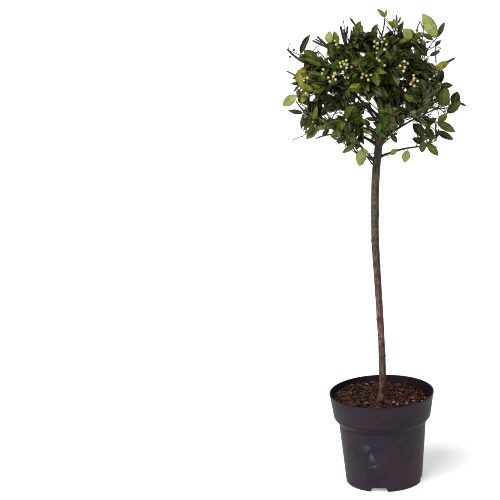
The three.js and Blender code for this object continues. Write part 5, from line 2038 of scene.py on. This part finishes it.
# %% Chips and crumbs
CHIP_COUNT, CRUMB_COUNT = 900, 1100
CHIP_LENGTHS, CHIP_WIDTHS, CHIP_THICKNESSES = (8, 24), (3.5, 9.5), (1.5, 4)
CRUMB_LENGTHS = (2, 5.5)
CHIP_SIDES, CRUMB_SIDES = 7, 5
CHIP_TILT, CHIP_REST, CHIP_PILE, STEM_CLEAR = 0.5, 0.3, 4.0, 13
SOIL_SEED = 12000
CHIP_FINISHES = [
    earth_finish("bark_brown", (54, 30, 25), (104, 70, 60)),
    earth_finish("bark_dark", (18, 6, 3), (46, 24, 18)),
    earth_finish("bark_red", (68, 22, 16), (98, 46, 37)),
    earth_finish("bark_tan", (118, 94, 76), (168, 142, 120)),
]
BROWN, DARK, RED, TAN = range(4)
RED_PLACE, RED_HALF_SIZE = (92, 30), (42, 62)
RED_SHARE, RED_SHARE_BESIDE, TAN_SHARE, DARK_SHARE = 0.13, 0.5, 0.035, 0.46


def scrap(middle, turn, sizes, sides, random):
    """An irregular flat scrap: two jagged outlines, the upper one smaller."""
    lower, upper = [], []
    for s in range(sides):
        angle = 2 * math.pi * (s + 0.7 * (random() - 0.5)) / sides
        across, along = math.cos(angle) * sizes[0] / 2, math.sin(angle) * sizes[1] / 2
        jag = mix(0.72, 1.12, random())
        bow = 0.14 * sizes[0] * (abs(math.cos(angle)) ** 2) * (random() - 0.4)
        lower.append(Vector((across * jag, along * jag, -sizes[2] / 2 + bow)))
        inset = mix(0.68, 0.92, random())
        upper.append(Vector((across * jag * inset, along * jag * inset, sizes[2] / 2 + bow)))
    points = [tuple(middle + turn @ p) for p in lower + upper]
    faces = [tuple(reversed(range(sides))), tuple(range(sides, 2 * sides))]
    faces += [(s, (s + 1) % sides, sides + (s + 1) % sides, sides + s) for s in range(sides)]
    return points, faces


def scrap_finish(x, y, random):
    """Most scraps are brown or dark, with more red at the right and a few pale ones."""
    beside = ((x - RED_PLACE[0]) / RED_HALF_SIZE[0]) ** 2
    behind = ((y - RED_PLACE[1]) / RED_HALF_SIZE[1]) ** 2
    redness = RED_SHARE + RED_SHARE_BESIDE * math.exp(-beside - behind)
    draw = random()
    if draw < redness:
        return RED
    if draw > 1 - TAN_SHARE:
        return TAN
    return DARK if random() < DARK_SHARE else BROWN


def strew(gathering, count, lengths, widths, thicknesses, sides, random):
    """Scraps laid at random over the compost, the later ones resting a little higher."""
    for i in range(count):
        length = mix(*lengths, random() ** 1.6)
        width = mix(*widths, random()) if widths else length * mix(0.5, 0.9, random())
        thick = mix(*thicknesses, random()) if thicknesses else length * mix(0.4, 0.8, random())
        r = math.sqrt(random()) * (soil_r - length * 0.45)
        azimuth = random() * 2 * math.pi
        x, y = r * math.cos(azimuth), r * math.sin(azimuth)
        if math.hypot(x - 1, y) < STEM_CLEAR + length * 0.3:
            continue
        lifted = CHIP_REST + CHIP_PILE * i / count
        middle = Vector((x, y, soil_height(x, y) + thick * 0.3 + lifted))
        tilt = Matrix.Rotation((random() - 0.5) * 2 * CHIP_TILT, 3, "X")
        turn = Matrix.Rotation(random() * 2 * math.pi, 3, "Z") @ tilt
        turn = turn @ Matrix.Rotation((random() - 0.5) * CHIP_TILT, 3, "Y")
        slot = scrap_finish(x, y, random)
        gathering.add(*scrap(middle, turn, (length, width, thick), sides, random), slot)


chips = Gathering()
chance = seeded(SOIL_SEED)
strew(chips, CRUMB_COUNT, CRUMB_LENGTHS, None, None, CRUMB_SIDES, chance)
strew(chips, CHIP_COUNT, CHIP_LENGTHS, CHIP_WIDTHS, CHIP_THICKNESSES, CHIP_SIDES, chance)
# A pale chip leans on the foot of the stem, on the viewer's side.
pale_place = place_in_photo((380, 400.5), -14)
pale_place.z = soil_height(pale_place.x, pale_place.y) + 3
pale_turn = Matrix.Rotation(0.5, 3, "Z") @ Matrix.Rotation(0.35, 3, "X")
chips.add(*scrap(pale_place, pale_turn, (17, 8, 2.4), CHIP_SIDES, chance), TAN)
chips.build("bark_chips", CHIP_FINISHES, "compost", ["compost"], smooth=False)

# %% [markdown]
# The plant stands on a plain pale floor under soft studio light. A broad sun from the upper left
# and the front gives the shadow, and a panel stands beside it. A low panel fills the right, and
# one from behind keeps the edges of the crown from sinking into the floor.

# %% Floor and light
HALF_FLOOR, FLOOR_GLOW, WORLD_STRENGTH = 30.0, 0.3, 0.3
corners = [(-1, -1), (1, -1), (1, 1), (-1, 1)]
floor_mesh = bpy.data.meshes.new("floor")
floor_mesh.from_pydata([(x * HALF_FLOOR, y * HALF_FLOOR, 0) for x, y in corners], [], [range(4)])
floor_material, tree, shader, place = new_material("floor_pale", 0.9, 0.1)
floor_paint = mottled(tree, place["Object"], 3.0, 0.3, (247, 247, 247), (252, 252, 252))
tree.links.new(floor_paint, shader.inputs["Base Color"])
# The floor also glows faintly, a painted light that lifts the shadow under the pot and lights the plant from
# below.
shader.inputs["Emission Color"].default_value = (1.0, 1.0, 1.0, 1.0)
shader.inputs["Emission Strength"].default_value = FLOOR_GLOW
floor_mesh.materials.append(floor_material)
floor = put_in_scene("floor", floor_mesh)
floor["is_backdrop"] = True

world = bpy.data.worlds.new("studio")
bpy.context.scene.world = world
world.use_nodes = True
background = world.node_tree.nodes["Background"]
background.inputs["Color"].default_value = (1.0, 1.0, 1.0, 1.0)
background.inputs["Strength"].default_value = WORLD_STRENGTH

LOOK_AT = Vector((0, 0, 0.75))
# Name, kind, place, size in metres or angle in radians, and strength.
LIGHTS = [
    ("main", "SUN", (-2.0, -2.4, 3.6), 0.9, 3.2),
    ("key", "AREA", (-2.4, -2.2, 2.6), 0.9, 18),
    ("low", "AREA", (2.4, -2.6, 1.1), 1.2, 22),
    ("back", "AREA", (1.6, 2.8, 2.4), 1.4, 25),
]
for name, kind, place_at, size, power in LIGHTS:
    data = bpy.data.lights.new(name, kind)
    data.energy = power
    if kind == "SUN":
        data.angle = size
    else:
        data.size = size
    lamp = put_in_scene(name, data)
    lamp.location = place_at
    lamp.rotation_euler = (LOOK_AT - Vector(place_at)).to_track_quat("-Z", "Y").to_euler()
# The photograph is crisp, so a pixel of the render takes in little of its neighbours.
PIXEL_SPREAD = 1.0
bpy.context.scene.cycles.filter_width = PIXEL_SPREAD
bpy.context.scene.view_settings.view_transform = "Standard"
print("lights", len(LIGHTS))

# %% [markdown]
# Last, the box of the dressed plant is kept beside the box of the plain solids, to see that the
# dressing has stayed true to size.

# %% Size
dressed_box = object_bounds()
boxes = {
    "cad": [list(corner) for corner in cad_box],
    "visual": [list(corner) for corner in dressed_box],
}
for title, (low, high) in boxes.items():
    print(title, [round(value, 3) for value in low], [round(value, 3) for value in high])
